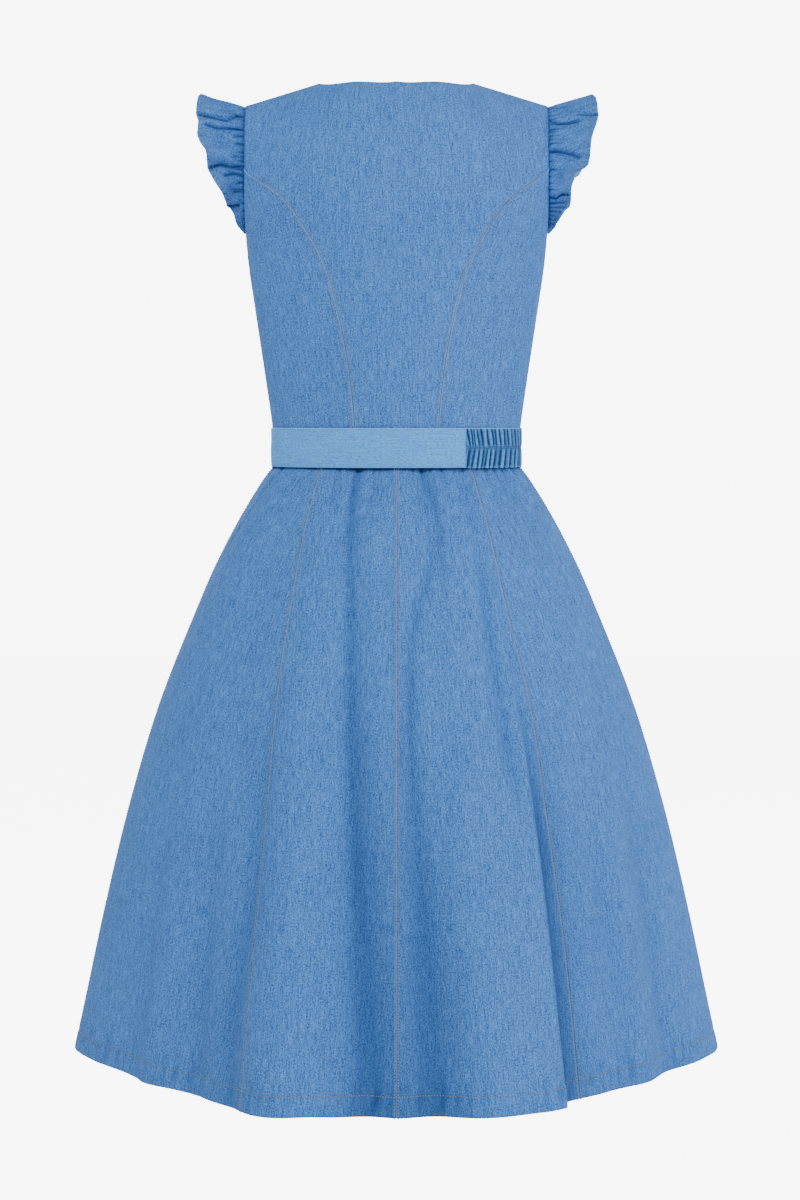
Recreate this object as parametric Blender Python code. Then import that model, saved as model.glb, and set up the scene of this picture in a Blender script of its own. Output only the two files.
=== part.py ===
"""A light denim dirndl, filled out as if worn, with ruffle caps at the armholes and its own belt.

Metres, +Z up. The origin lies midway between the two shoulder seams, where the wearer carries the dress.
The wearer faces -Y, so the back of the dress faces +Y and the wearer's left side is +X. Every piece is a
closed cloth wall: its outer face comes from the sections below, its inner face lies one wall further in.
"""

import math
from bisect import bisect_right
from collections import namedtuple
from functools import lru_cache

import bpy
import numpy as np

# Cloth
WALL = 0.0015
SEAM_GAP = 0.0003
BELT_WALL = 0.0012
SHARP_ANGLE = 50.0

# How far to either side a slope is measured, in rows or in shares of a line, and what counts as equal
PROBE_STEP = 0.004
ROUNDING = 1e-6

# Bodice: rings of the outer face from the waist seam up to the underarm
WAIST = -0.386
UNDERARM = -0.155
Ring = namedtuple("Ring", "height half_width back_depth front_depth")
BODICE_RINGS = (
    Ring(-0.3860, 0.1350, 0.0860, 0.0910),
    Ring(-0.3655, 0.1362, 0.0866, 0.0922),
    Ring(-0.3535, 0.1377, 0.0872, 0.0936),
    Ring(-0.3135, 0.1435, 0.0900, 0.1005),
    Ring(-0.2475, 0.1535, 0.0960, 0.1140),
    Ring(-0.1815, 0.1630, 0.1020, 0.1240),
    Ring(-0.1550, 0.1655, 0.1040, 0.1240),
)

# Bodice above the underarm: each column of cloth leaves the underarm ring and arrives at the shoulder ridge
SHOULDER_END = 0.1665
SHOULDER_END_HEIGHT = -0.012
SHOULDER_SLOPE = 0.31
NECK_HALF_WIDTH = 0.085
Column = namedtuple("Column", "share leave_out leave_up arrive_out arrive_down")
BACK_COLUMNS = (
    Column(0.00, 0.006, 0.066, 0.105, 0.006),
    Column(0.25, 0.012, 0.064, 0.100, -0.003),
    Column(0.50, 0.022, 0.062, 0.077, 0.008),
    Column(0.80, 0.036, 0.043, 0.060, 0.020),
    Column(1.00, 0.052, 0.020, 0.052, 0.018),
)
FRONT_COLUMNS = (
    Column(0.00, 0.000, 0.060, 0.100, 0.020),
    Column(0.50, 0.012, 0.058, 0.070, 0.018),
    Column(0.80, 0.024, 0.040, 0.054, 0.020),
    Column(1.00, 0.042, 0.018, 0.045, 0.018),
)
BACK_NECK_DEPTH = 0.070
FRONT_NECK_DROP = 0.118
FRONT_NECK_CURVE = 3.4

# Princess seams of the bodice: distance of the seam from the centre line, up to where it meets the armhole
Seam = namedtuple("Seam", "height distance")
BACK_PRINCESS = (
    Seam(-0.3860, 0.0435),
    Seam(-0.3320, 0.0480),
    Seam(-0.2840, 0.0545),
    Seam(-0.2350, 0.0645),
    Seam(-0.1920, 0.0770),
    Seam(-0.1510, 0.0992),
    Seam(-0.1130, 0.1290),
    Seam(-0.0880, 0.1640),
)
FRONT_PRINCESS = (
    Seam(-0.3860, 0.0500),
    Seam(-0.3000, 0.0600),
    Seam(-0.2350, 0.0720),
    Seam(-0.1920, 0.0840),
    Seam(-0.1510, 0.1040),
    Seam(-0.1180, 0.1320),
    Seam(-0.0950, 0.1640),
)
LOWER_HEIGHTS = (-0.386, -0.3635, -0.330, -0.285, -0.240, -0.195)
SEAM_ROWS = 5
YOKE_ROWS = 4
SIDE_COLUMNS = 6
NECK_COLUMNS = 6
NECK_CROWDING = 1.5
SHOULDER_COLUMNS = 3

# Skirt: rings of the outer face from the waist seam down to the hem
HEM = -1.047
SKIRT_RINGS = (
    Ring(-1.0470, 0.3570, 0.3050, 0.2950),
    Ring(-0.9950, 0.3455, 0.2930, 0.2840),
    Ring(-0.8850, 0.3213, 0.2680, 0.2610),
    Ring(-0.7750, 0.2940, 0.2390, 0.2340),
    Ring(-0.6650, 0.2603, 0.2060, 0.2040),
    Ring(-0.5770, 0.2253, 0.1740, 0.1730),
    Ring(-0.5110, 0.1965, 0.1480, 0.1490),
    Ring(-0.4455, 0.1610, 0.1160, 0.1180),
    Ring(-0.4235, 0.1470, 0.1020, 0.1050),
    Ring(-0.4080, 0.1366, 0.0890, 0.0935),
    Ring(-0.3860, 0.1350, 0.0860, 0.0910),
)
SKIRT_ROWS = (-1.047, -0.965, -0.860, -0.740, -0.620, -0.530, -0.465, -0.430, -0.408, -0.3863)

# Skirt seams: distance of the side back seams from the centre line, and the plain front ones
GoreSeam = namedtuple("GoreSeam", "height left right front")
GORE_SEAMS = (
    GoreSeam(-1.0470, 0.158, 0.188, 0.175),
    GoreSeam(-0.8925, 0.1455, 0.1713, 0.157),
    GoreSeam(-0.7695, 0.1366, 0.1553, 0.144),
    GoreSeam(-0.6447, 0.1253, 0.1386, 0.130),
    GoreSeam(-0.5505, 0.1115, 0.1167, 0.114),
    GoreSeam(-0.4692, 0.0974, 0.0982, 0.098),
    GoreSeam(-0.4080, 0.0827, 0.0816, 0.082),
    GoreSeam(-0.3860, 0.0800, 0.0790, 0.080),
)

# Hanging folds: azimuth in degrees from the centre back, plus towards the wearer's left, and out at the hem
FOLD_DRIFT = 0.6
Fold = namedtuple("Fold", "name waist_azimuth hem_azimuth spread out start growth")
SKIRT_FOLDS = (
    Fold("left flank, side", 72, 72, 22, -0.025, 0.00, 1.3),
    Fold("left flank, middle", 56, 56, 22, -0.028, 0.00, 1.3),
    Fold("left flank, outside the seam", 42, 40, 17, -0.027, 0.00, 1.2),
    Fold("right flank, side", -72, -72, 22, -0.025, 0.00, 1.3),
    Fold("right flank, middle", -56, -56, 22, -0.030, 0.00, 1.3),
    Fold("right flank, outside the lap", -42, -40, 17, -0.028, 0.00, 1.2),
    Fold("left front flank, side", 108, 108, 22, -0.020, 0.00, 1.3),
    Fold("left front flank, middle", 125, 125, 24, -0.022, 0.00, 1.3),
    Fold("right front flank, side", -107, -107, 22, -0.018, 0.00, 1.3),
    Fold("right front flank, middle", -126, -126, 24, -0.022, 0.00, 1.3),
    Fold("crest inside the left seam", 28, 20.5, 9, 0.0145, 0.05, 1.1),
    Fold("trough left of the centre back", 18, 5, 7, -0.007, 0.00, 0.5),
    Fold("trough right of the centre back", -11, -6, 7, -0.007, 0.00, 0.6),
    Fold("crest right of the centre back", -19, -16, 9, 0.007, 0.05, 0.8),
    Fold("trough left of the centre front", 164, 168, 9, -0.010, 0.00, 0.6),
    Fold("crest left of the centre front", 152, 150, 10, 0.012, 0.05, 1.0),
    Fold("trough right of the centre front", -170, -166, 9, -0.010, 0.00, 0.6),
    Fold("crest right of the centre front", -150, -148, 10, 0.011, 0.05, 1.0),
)
Lap = namedtuple("Lap", "azimuth_waist azimuth_hem crest drop crest_spread trough_spread edge start")
SKIRT_LAP = Lap(-30, -30.0, 0.003, 0.012, 12, 12, 3.2, 0.03)

# Gathers at the waist seam: how many in each gore, and how deep they are at each height
Gore = namedtuple("Gore", "name first_seam last_seam gathers depth_share")
SKIRT_GORES = (
    Gore("skirt_back_left", "centre_back", "side_back_left", 6, 0.8),
    Gore("skirt_side_back_left", "side_back_left", "side_left", 5, 0.4),
    Gore("skirt_side_front_left", "side_left", "side_front_left", 7, 0.8),
    Gore("skirt_front", "side_front_left", "side_front_right", 14, 1.0),
    Gore("skirt_side_front_right", "side_front_right", "side_right", 7, 0.8),
    Gore("skirt_side_back_right", "side_right", "side_back_right", 8, 0.9),
    Gore("skirt_back_right", "side_back_right", "centre_back_end", 8, 1.0),
)
GatherDepth = namedtuple("GatherDepth", "height depth")
GATHER_DEPTHS = (
    GatherDepth(-0.5600, 0.0000),
    GatherDepth(-0.5000, 0.0004),
    GatherDepth(-0.4550, 0.0014),
    GatherDepth(-0.4300, 0.0022),
    GatherDepth(-0.4080, 0.0011),
    GatherDepth(-0.3860, 0.0005),
)
COLUMNS_PER_GATHER = 3
BORDER_PROBE_DEGREES = 1.0

# Ruffle caps: from the back underarm (place 0) over the shoulder (0.5) to the front underarm (1)
RuffleRow = namedtuple("RuffleRow", "place left_width right_width rise lean")
RUFFLE_ROWS = (
    RuffleRow(0.02, 0.0030, 0.0030, -4, 8),
    RuffleRow(0.08, 0.0085, 0.0080, -4, 12),
    RuffleRow(0.15, 0.0175, 0.0175, -2, 18),
    RuffleRow(0.22, 0.0300, 0.0290, 0, 20),
    RuffleRow(0.30, 0.0415, 0.0440, 4, 18),
    RuffleRow(0.40, 0.0500, 0.0500, 7, 11),
    RuffleRow(0.50, 0.0525, 0.0525, 9, 0),
    RuffleRow(0.60, 0.0500, 0.0500, 7, -11),
    RuffleRow(0.70, 0.0430, 0.0430, 4, -18),
    RuffleRow(0.78, 0.0310, 0.0310, 0, -20),
    RuffleRow(0.85, 0.0190, 0.0190, -2, -18),
    RuffleRow(0.92, 0.0085, 0.0085, -4, -12),
    RuffleRow(0.98, 0.0030, 0.0030, -4, -8),
)
LEFT_WAVE_TROUGHS = (0.02, 0.14, 0.262, 0.38, 0.455, 0.55, 0.65, 0.76, 0.87, 0.98)
RIGHT_WAVE_TROUGHS = (0.02, 0.143, 0.252, 0.305, 0.415, 0.56, 0.66, 0.77, 0.88, 0.98)
RUFFLE_DEPTH_ROWS = (0.0, 0.15, 0.55, 1.0)
RUFFLE_GATHERS = 38
RUFFLE_WAVE_HEIGHT = 0.0065
RUFFLE_WAVE_LEAN = 0.0035
RUFFLE_WAVE_GROWTH = 1.2
RUFFLE_GATHER_HEIGHT = 0.0009
FULL_WAVE_WIDTH = 0.030
PUCKER_REACH, PUCKER_SPREAD, PUCKER_START = 0.15, 0.18, 0.10
CLOTH_INSIDE_ARMHOLE = 0.99

# Belt: a ring just outside the waist; azimuths run from the centre back over the wearer's left
BELT_TOP = -0.3655
BELT_BOTTOM = -0.4080
BELT_INNER = Ring(-0.386, 0.1370, 0.0895, 0.0942)
BAND_START, BAND_END = -33.0, 195.0
ELASTIC_START = -115.0
LAP_END, LAP_FULL, LAP_CLEAR = 172.0, 197.0, 210.0
BELT_DEGREES_PER_COLUMN = 6.0
ELASTIC_GATHERS = 22
ELASTIC_WALL = 0.0009
ELASTIC_RIB = 0.0013
ElasticRow = namedtuple("ElasticRow", "height_share rib")
ELASTIC_ROWS = (
    ElasticRow(0.00, 0.5),
    ElasticRow(0.14, 1.0),
    ElasticRow(0.42, 1.0),
    ElasticRow(0.50, 0.0),
    ElasticRow(0.58, 1.0),
    ElasticRow(0.86, 1.0),
    ElasticRow(1.00, 0.5),
)

Finish = namedtuple("Finish", "colour roughness")
DENIM = Finish((0.135, 0.285, 0.520), 0.85)
BELT_CLOTH = Finish((0.215, 0.410, 0.660), 0.55)


def clear_scene():
    """Remove whatever the new file starts with."""
    for item in list(bpy.data.objects):
        bpy.data.objects.remove(item, do_unlink=True)


def cloth_material(name, finish):
    """Plain cloth: one colour, no metal."""
    material = bpy.data.materials.new(name)
    material.use_nodes = True
    shader = material.node_tree.nodes["Principled BSDF"]
    shader.inputs["Base Color"].default_value = (*finish.colour, 1.0)
    shader.inputs["Roughness"].default_value = finish.roughness
    shader.inputs["Metallic"].default_value = 0.0
    return material


@lru_cache(maxsize=None)
def knots_of(rows, column):
    """A table's first column, the column asked for and its slopes."""
    knots = [row[0] for row in rows]
    values = [getattr(row, column) for row in rows]
    return knots, values, [float(s) for s in np.gradient(values, knots)]


def smooth(rows, column, at):
    """Value of a table's column on a smooth curve through its rows, whose first column ascends."""
    knots, values, slopes = knots_of(rows, column)
    at = min(max(at, knots[0]), knots[-1])
    low = min(bisect_right(knots, at) - 1, len(knots) - 2)
    step = knots[low + 1] - knots[low]
    part = (at - knots[low]) / step
    start = (1 + 2 * part) * (1 - part) ** 2 * values[low] + part * (1 - part) ** 2 * step * slopes[low]
    end = part ** 2 * (3 - 2 * part) * values[low + 1] - part ** 2 * (1 - part) * step * slopes[low + 1]
    return start + end


def hump(distance):
    """Soft hump: 1 at the middle, 0 from a distance of 1 on."""
    return 0.5 + 0.5 * math.cos(math.pi * min(abs(distance), 1.0))


def ease(part):
    """Smooth step from 0 to 1."""
    part = min(max(part, 0.0), 1.0)
    return part * part * (3 - 2 * part)


def solve(function, low, high, steps=40):
    """Where a rising function crosses zero."""
    for _ in range(steps):
        middle = 0.5 * (low + high)
        if function(middle) < 0:
            low = middle
        else:
            high = middle
    return 0.5 * (low + high)


def unit(vector):
    """The vector at length 1."""
    return vector / np.linalg.norm(vector)


def spread(first, last, columns):
    """Evenly spaced values from first to last."""
    return [first + (last - first) * k / columns for k in range(columns + 1)]


def cloth_wall(name, material, outer, inner):
    """Closed wall between two grids of points, rows upwards and columns over the wearer's left."""
    rows, columns = outer.shape[:2]
    half = rows * columns
    points = [tuple(p) for p in outer.reshape(-1, 3)] + [tuple(p) for p in inner.reshape(-1, 3)]
    faces = []

    def cell(a, b, c, d):
        faces.append((a, b, c))
        faces.append((a, c, d))

    for i in range(rows - 1):
        for j in range(columns - 1):
            a = i * columns + j
            b, c, d = a + columns, a + columns + 1, a + 1
            cell(a, b, c, d)
            faces.append((a + half, c + half, b + half))
            faces.append((a + half, d + half, c + half))
    for i in range(rows - 1):
        left, right = i * columns, i * columns + columns - 1
        cell(left, left + half, left + columns + half, left + columns)
        cell(right + columns, right + columns + half, right + half, right)
    top = (rows - 1) * columns
    for j in range(columns - 1):
        cell(j + 1, j + 1 + half, j + half, j)
        cell(top + j, top + j + half, top + j + 1 + half, top + j + 1)
    mesh = bpy.data.meshes.new(name)
    mesh.from_pydata(points, [], faces)
    mesh.materials.append(material)
    mesh.shade_smooth()
    mesh.set_sharp_from_angle(angle=math.radians(SHARP_ANGLE))
    piece = bpy.data.objects.new(name, mesh)
    bpy.context.scene.collection.objects.link(piece)
    return piece


# ---------------------------------------------------------------- bodice

class Half:
    """One half of the bodice, back or front: its depth, its columns above the underarm and its neckline."""

    def __init__(self, facing, depth, columns):
        self.facing = facing
        self.depth = depth
        self.columns = columns
        self.neck_rows = {}

    def smooth_point(self, share, level):
        """Point of the uncut half: level 0 waist, 1 underarm, 2 shoulder ridge; share 0 centre, 1 edge."""
        side, share = math.copysign(1.0, share), abs(share)
        angle = share * math.pi / 2
        height = WAIST + (UNDERARM - WAIST) * min(level, 1.0)
        x = smooth(BODICE_RINGS, "half_width", height) * math.sin(angle)
        y = smooth(BODICE_RINGS, self.depth, height) * math.cos(angle)
        if level <= 1.0:
            return np.array((side * x, self.facing * y, height))
        ridge_x = SHOULDER_END * share
        ridge_z = SHOULDER_END_HEIGHT + (SHOULDER_END - ridge_x) * SHOULDER_SLOPE
        leave_out = smooth(self.columns, "leave_out", share)
        leave_up = smooth(self.columns, "leave_up", share)
        arrive_out = smooth(self.columns, "arrive_out", share)
        arrive_down = smooth(self.columns, "arrive_down", share)
        handles = (
            (x, y, UNDERARM),
            (x, y + leave_out, UNDERARM + leave_up),
            (ridge_x, arrive_out, ridge_z - arrive_down),
            (ridge_x, 0.0, ridge_z),
        )
        part = level - 1.0
        weights = ((1 - part) ** 3, 3 * part * (1 - part) ** 2, 3 * part ** 2 * (1 - part), part ** 3)
        x, y, z = (sum(w * h[axis] for w, h in zip(weights, handles)) for axis in range(3))
        return np.array((side * x, self.facing * y, z))

    def neck_level(self, share):
        """Level at which the neckline cuts a column, 2 where the column ends on the shoulder seam."""
        share = abs(share)
        key = round(share, 6)
        if key not in self.neck_rows:
            if SHOULDER_END * share >= NECK_HALF_WIDTH:
                self.neck_rows[key] = 2.0
            else:
                self.neck_rows[key] = solve(lambda level: self.past_neckline(share, level), 1.0, 2.0)
        return self.neck_rows[key]

    def past_neckline(self, share, level):
        """Below zero on cloth, above zero inside the neck opening."""
        x, y, z = self.smooth_point(share, level)
        across = min(abs(x) / NECK_HALF_WIDTH, 1.0)
        if self.facing > 0:
            return BACK_NECK_DEPTH * math.sqrt(1 - across ** 2) - y
        ridge = SHOULDER_END_HEIGHT + (SHOULDER_END - NECK_HALF_WIDTH) * SHOULDER_SLOPE
        edge = -FRONT_NECK_DROP + (ridge + FRONT_NECK_DROP) * across ** FRONT_NECK_CURVE
        return z - edge

    def point(self, share, row):
        """Point of the cut half: row 0 waist, 1 underarm, 2 neckline or shoulder seam."""
        if row <= 1.0:
            return self.smooth_point(share, row)
        return self.smooth_point(share, 1.0 + (self.neck_level(share) - 1.0) * (row - 1.0))

    def normal(self, share, row):
        """Outward direction of the cloth."""
        if row > 2.0 - ROUNDING and SHOULDER_END * abs(share) >= NECK_HALF_WIDTH:
            return unit(np.array((math.copysign(SHOULDER_SLOPE, share), 0.0, 1.0)))
        level = row if row <= 1.0 else 1.0 + (self.neck_level(share) - 1.0) * (row - 1.0)
        low, high = max(level - PROBE_STEP, 0.0), min(level + PROBE_STEP, 2.0)
        first, last = max(share - PROBE_STEP, -1.0), min(share + PROBE_STEP, 1.0)
        up = self.smooth_point(share, high) - self.smooth_point(share, low)
        along = self.smooth_point(last, level) - self.smooth_point(first, level)
        return unit(np.cross(up, along) * self.facing)


BACK = Half(1.0, "back_depth", BACK_COLUMNS)
FRONT = Half(-1.0, "front_depth", FRONT_COLUMNS)


def seam_top_row(half, seam):
    """Row in which a princess seam reaches the armhole."""
    return solve(lambda row: half.point(1.0, row)[2] - seam[-1].height, 1.0, 2.0)


def seam_share(half, seam, row):
    """Share of the half's breadth at which a princess seam crosses a row."""

    def beyond(share):
        x, _, z = half.point(share, row)
        return x - smooth(seam, "distance", z)

    return solve(beyond, 0.0, 1.0)


def bodice_rows(half, seam):
    """Rows shared by the panels of one half, and how many of them lie below the seam's end."""
    top = seam_top_row(half, seam)
    rows = [(height - WAIST) / (UNDERARM - WAIST) for height in LOWER_HEIGHTS]
    rows += [1.0 + (top - 1.0) * i / SEAM_ROWS for i in range(SEAM_ROWS)]
    rows += [top + (2.0 - top) * i / YOKE_ROWS for i in range(YOKE_ROWS + 1)]
    return rows, len(LOWER_HEIGHTS) + SEAM_ROWS


def panel_walls(half, rows, shares):
    """Outer and inner face of a bodice panel through the shares of each row."""
    outer = np.array([[half.point(s, r) for s in line] for r, line in zip(rows, shares)])
    normals = np.array([[half.normal(s, r) for s in line] for r, line in zip(rows, shares)])
    return outer, outer - normals * WALL


def trimmed(grid, gap_left=0.0, gap_right=0.0, gap_bottom=0.0, gap_top=0.0):
    """The grid with its border points drawn in along their rows or columns by half a seam gap."""
    grid = grid.copy()
    for gap, edge, inside in (
        (gap_left, grid[:, 0], grid[:, 1]),
        (gap_right, grid[:, -1], grid[:, -2]),
        (gap_bottom, grid[0], grid[1]),
        (gap_top, grid[-1], grid[-2]),
    ):
        if gap:
            along = inside - edge
            edge += gap * along / np.linalg.norm(along, axis=1, keepdims=True)
    return grid


def build_bodice(material):
    """Centre and side panels of the back and the front."""
    neck_share = NECK_HALF_WIDTH / SHOULDER_END
    half_shares = [neck_share * (1 - (1 - k / NECK_COLUMNS) ** NECK_CROWDING) for k in range(NECK_COLUMNS)]
    half_shares += spread(neck_share, 1.0, SHOULDER_COLUMNS)
    shares = [-s for s in reversed(half_shares[1:])] + half_shares
    half_gap = SEAM_GAP / 2
    for half, seam, label in ((BACK, BACK_PRINCESS, "back"), (FRONT, FRONT_PRINCESS, "front")):
        rows, below = bodice_rows(half, seam)
        edges = [seam_share(half, seam, row) if k < below else 1.0 for k, row in enumerate(rows)]
        centre = [[s * edge for s in shares] for edge in edges]
        if half.facing < 0:
            centre = [line[::-1] for line in centre]
        walls = panel_walls(half, rows, centre)
        walls = [trimmed(w, gap_left=half_gap, gap_right=half_gap, gap_top=half_gap) for w in walls]
        cloth_wall("bodice_" + label, material, *walls)
        side_rows = rows[:below]
        for side, side_name in ((1, "left"), (-1, "right")):
            lines = []
            for edge in edges[:below]:
                line = spread(side * edge, side, SIDE_COLUMNS)
                lines.append(line if side * half.facing > 0 else line[::-1])
            walls = panel_walls(half, side_rows, lines)
            walls = [trimmed(w, gap_left=half_gap, gap_right=half_gap) for w in walls]
            cloth_wall(f"bodice_side_{label}_{side_name}", material, *walls)


# ---------------------------------------------------------------- skirt

def fold_offset(azimuth, fall):
    """How far the hanging folds push the cloth out at an azimuth; fall is 0 at the waist, 1 at the hem."""
    out = 0.0
    for fold in SKIRT_FOLDS:
        if fall <= fold.start:
            continue
        grown = ((fall - fold.start) / (1 - fold.start)) ** fold.growth
        middle = fold.waist_azimuth + (fold.hem_azimuth - fold.waist_azimuth) * fall ** FOLD_DRIFT
        away = (azimuth - middle + 180) % 360 - 180
        out += fold.out * grown * hump(away / fold.spread)
    lap = SKIRT_LAP
    grown = max(fall - lap.start, 0.0) / (1 - lap.start)
    away = lap.azimuth_waist + (lap.azimuth_hem - lap.azimuth_waist) * fall - azimuth
    past = ease(0.5 + away / lap.edge)
    crest = lap.crest * hump(min(away, 0.0) / lap.crest_spread)
    trough = lap.drop * hump(max(away, 0.0) / lap.trough_spread)
    return out + grown * ((1 - past) * crest - past * trough)


def skirt_point(azimuth, height, gather=0.0):
    """Point of the skirt's outer face at an azimuth in degrees, with a gather's depth taken off."""
    angle = math.radians(azimuth)
    width = smooth(SKIRT_RINGS, "half_width", height)
    depth = smooth(SKIRT_RINGS, "back_depth" if math.cos(angle) > 0 else "front_depth", height)
    outward = unit(np.array((math.sin(angle) / width, math.cos(angle) / depth)))
    fall = (WAIST - height) / (WAIST - HEM)
    ring = np.array((width * math.sin(angle), depth * math.cos(angle)))
    x, y = ring + outward * (fold_offset(azimuth, fall) - gather)
    return np.array((x, y, height))


def seam_azimuth(seam, height):
    """Azimuth of a skirt seam at a height."""
    fixed = {"centre_back": 0.0, "side_left": 90.0, "side_right": 270.0, "centre_back_end": 360.0}
    if seam in fixed:
        return fixed[seam]
    width = smooth(SKIRT_RINGS, "half_width", height)
    column = {"side_back_left": "left", "side_back_right": "right"}.get(seam, "front")
    angle = math.degrees(math.asin(smooth(GORE_SEAMS, column, height) / width))
    turned = {
        "side_back_left": angle,
        "side_front_left": 180.0 - angle,
        "side_front_right": 180.0 + angle,
        "side_back_right": 360.0 - angle,
    }
    return turned[seam]


def build_skirt(material):
    """Seven gores, gathered at the waist and hanging in folds."""
    for gore in SKIRT_GORES:
        columns = gore.gathers * COLUMNS_PER_GATHER
        outer = np.empty((len(SKIRT_ROWS), columns + 1, 3))
        inner = np.empty_like(outer)
        for i, height in enumerate(SKIRT_ROWS):
            first = seam_azimuth(gore.first_seam, height)
            last = seam_azimuth(gore.last_seam, height)
            deep = gore.depth_share * smooth(GATHER_DEPTHS, "depth", height)
            for j in range(columns + 1):
                wave = 0.5 - 0.5 * math.cos(2 * math.pi * j / COLUMNS_PER_GATHER)
                place = first + (last - first) * j / columns
                outer[i, j] = skirt_point(place, height, deep * wave)
            along = np.empty((columns + 1, 3))
            along[1:-1] = outer[i, 2:] - outer[i, :-2]
            for end, seam in ((0, first), (-1, last)):
                before = skirt_point(seam - BORDER_PROBE_DEGREES, height)
                along[end] = skirt_point(seam + BORDER_PROBE_DEGREES, height) - before
            inward = np.stack([along[:, 1], -along[:, 0], np.zeros(columns + 1)], axis=1)
            inward /= np.linalg.norm(inward, axis=1, keepdims=True)
            inner[i] = outer[i] + inward * WALL
        half_gap = SEAM_GAP / 2
        walls = [trimmed(w, gap_left=half_gap, gap_right=half_gap) for w in (outer, inner)]
        cloth_wall(gore.name, material, *walls)


# ---------------------------------------------------------------- ruffle caps

def armhole(place, side, share=1.0):
    """Armhole edge at a place from 0, back underarm, to 1, front underarm, or the cloth just inside it."""
    half = BACK if place <= 0.5 else FRONT
    row = 1.0 + 2 * min(place, 1 - place)
    return half.point(side * share, row)


def ruffle_frame(place, side):
    """Base point, outward direction, normal and run of the ruffle at a place."""
    edge = armhole(place, side)
    before = armhole(max(place - PROBE_STEP, 0.0), side)
    run = unit(armhole(min(place + PROBE_STEP, 1.0), side) - before)
    away = edge - armhole(place, side, CLOTH_INSIDE_ARMHOLE)
    away = unit(away - run * np.dot(away, run))
    rise = math.radians(smooth(RUFFLE_ROWS, "rise", place))
    lean = math.radians(smooth(RUFFLE_ROWS, "lean", place))
    out = np.array((side * math.cos(rise) * math.cos(lean), math.sin(lean), math.sin(rise)))
    out = unit(out - run * np.dot(out, run))
    normal = unit(np.cross(run, out)) * side
    clear = SEAM_GAP + WALL / 2 + RUFFLE_GATHER_HEIGHT / 2
    return edge + away * clear, out, normal, run


def ruffle_point(place, reach, side, offset):
    """Point of the ruffle: reach 0 at the armhole, 1 at its hem; offset along its normal."""
    base, out, normal, run = ruffle_frame(place, side)
    width = smooth(RUFFLE_ROWS, "left_width" if side > 0 else "right_width", place)
    size = min(width / FULL_WAVE_WIDTH, 1.0)
    troughs = LEFT_WAVE_TROUGHS if side > 0 else RIGHT_WAVE_TROUGHS
    turn = 2 * math.pi * float(np.interp(place, troughs, range(len(troughs))))
    wave = -RUFFLE_WAVE_HEIGHT * size * reach ** RUFFLE_WAVE_GROWTH * math.cos(turn)
    lean = RUFFLE_WAVE_LEAN * size * reach * math.sin(turn)
    pucker = math.exp(-((reach - PUCKER_REACH) / PUCKER_SPREAD) ** 2) * min(reach / PUCKER_START, 1.0)
    gather = RUFFLE_GATHER_HEIGHT * size * pucker * math.cos(2 * math.pi * RUFFLE_GATHERS * place)
    return base + out * width * reach + normal * (wave + gather + offset) + run * lean


def build_ruffles(material):
    """One gathered strip in each armhole."""
    columns = RUFFLE_GATHERS * COLUMNS_PER_GATHER
    first, last = RUFFLE_ROWS[0].place, RUFFLE_ROWS[-1].place
    for side, side_name in ((1, "left"), (-1, "right")):
        places = spread(first, last, columns)
        if side > 0:
            places.reverse()
        walls = []
        for offset in (WALL / 2, -WALL / 2):
            grid = [[ruffle_point(p, reach, side, offset) for p in places] for reach in RUFFLE_DEPTH_ROWS]
            walls.append(np.array(grid))
        cloth_wall("ruffle_" + side_name, material, *walls)


# ---------------------------------------------------------------- belt

def belt_point(azimuth, height, out):
    """Point of the belt at an azimuth, some way out of its inner face."""
    angle = math.radians(azimuth)
    depth = BELT_INNER.back_depth if math.cos(angle) > 0 else BELT_INNER.front_depth
    outward = unit(np.array((math.sin(angle) / BELT_INNER.half_width, math.cos(angle) / depth)))
    ring = np.array((BELT_INNER.half_width * math.sin(angle), depth * math.cos(angle)))
    x, y = ring + outward * out
    return np.array((x, y, height))


def belt_piece(name, material, azimuths, heights, reach):
    """Belt wall; reach gives the inner and outer face's way out at a row and a column."""
    walls = []
    for face in (1, 0):
        grid = []
        for i, height in enumerate(heights):
            grid.append([belt_point(turn, height, reach(i, k)[face]) for k, turn in enumerate(azimuths)])
        walls.append(trimmed(np.array(grid), gap_left=SEAM_GAP / 2, gap_right=SEAM_GAP / 2))
    cloth_wall(name, material, *walls)


def build_belt(material):
    """Plain band, shirred elastic piece and the short end that laps over the band at the front."""
    edges = (BELT_BOTTOM, BELT_TOP)
    band = spread(BAND_START, BAND_END, int((BAND_END - BAND_START) / BELT_DEGREES_PER_COLUMN))
    belt_piece("belt_band", material, band, edges, lambda i, k: (0.0, BELT_WALL))

    def ribbed(i, k):
        wave = 0.5 - 0.5 * math.cos(2 * math.pi * k / COLUMNS_PER_GATHER)
        return 0.0, ELASTIC_WALL + ELASTIC_RIB * ELASTIC_ROWS[i].rib * wave

    elastic = spread(ELASTIC_START, BAND_START, ELASTIC_GATHERS * COLUMNS_PER_GATHER)
    heights = [BELT_BOTTOM + (BELT_TOP - BELT_BOTTOM) * row.height_share for row in ELASTIC_ROWS]
    belt_piece("belt_elastic", material, elastic, heights, ribbed)

    front_end = 360.0 + ELASTIC_START
    front = spread(LAP_END, front_end, int((front_end - LAP_END) / BELT_DEGREES_PER_COLUMN))

    def lapped(i, k):
        lift = (BELT_WALL + SEAM_GAP) * (1 - ease((front[k] - LAP_FULL) / (LAP_CLEAR - LAP_FULL)))
        return lift, lift + BELT_WALL

    belt_piece("belt_front_end", material, front, edges, lapped)


clear_scene()
denim = cloth_material("denim", DENIM)
belt_cloth = cloth_material("belt_cloth", BELT_CLOTH)
build_bodice(denim)
build_skirt(denim)
build_ruffles(denim)
build_belt(belt_cloth)
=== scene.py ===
import math
from collections import namedtuple

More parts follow.
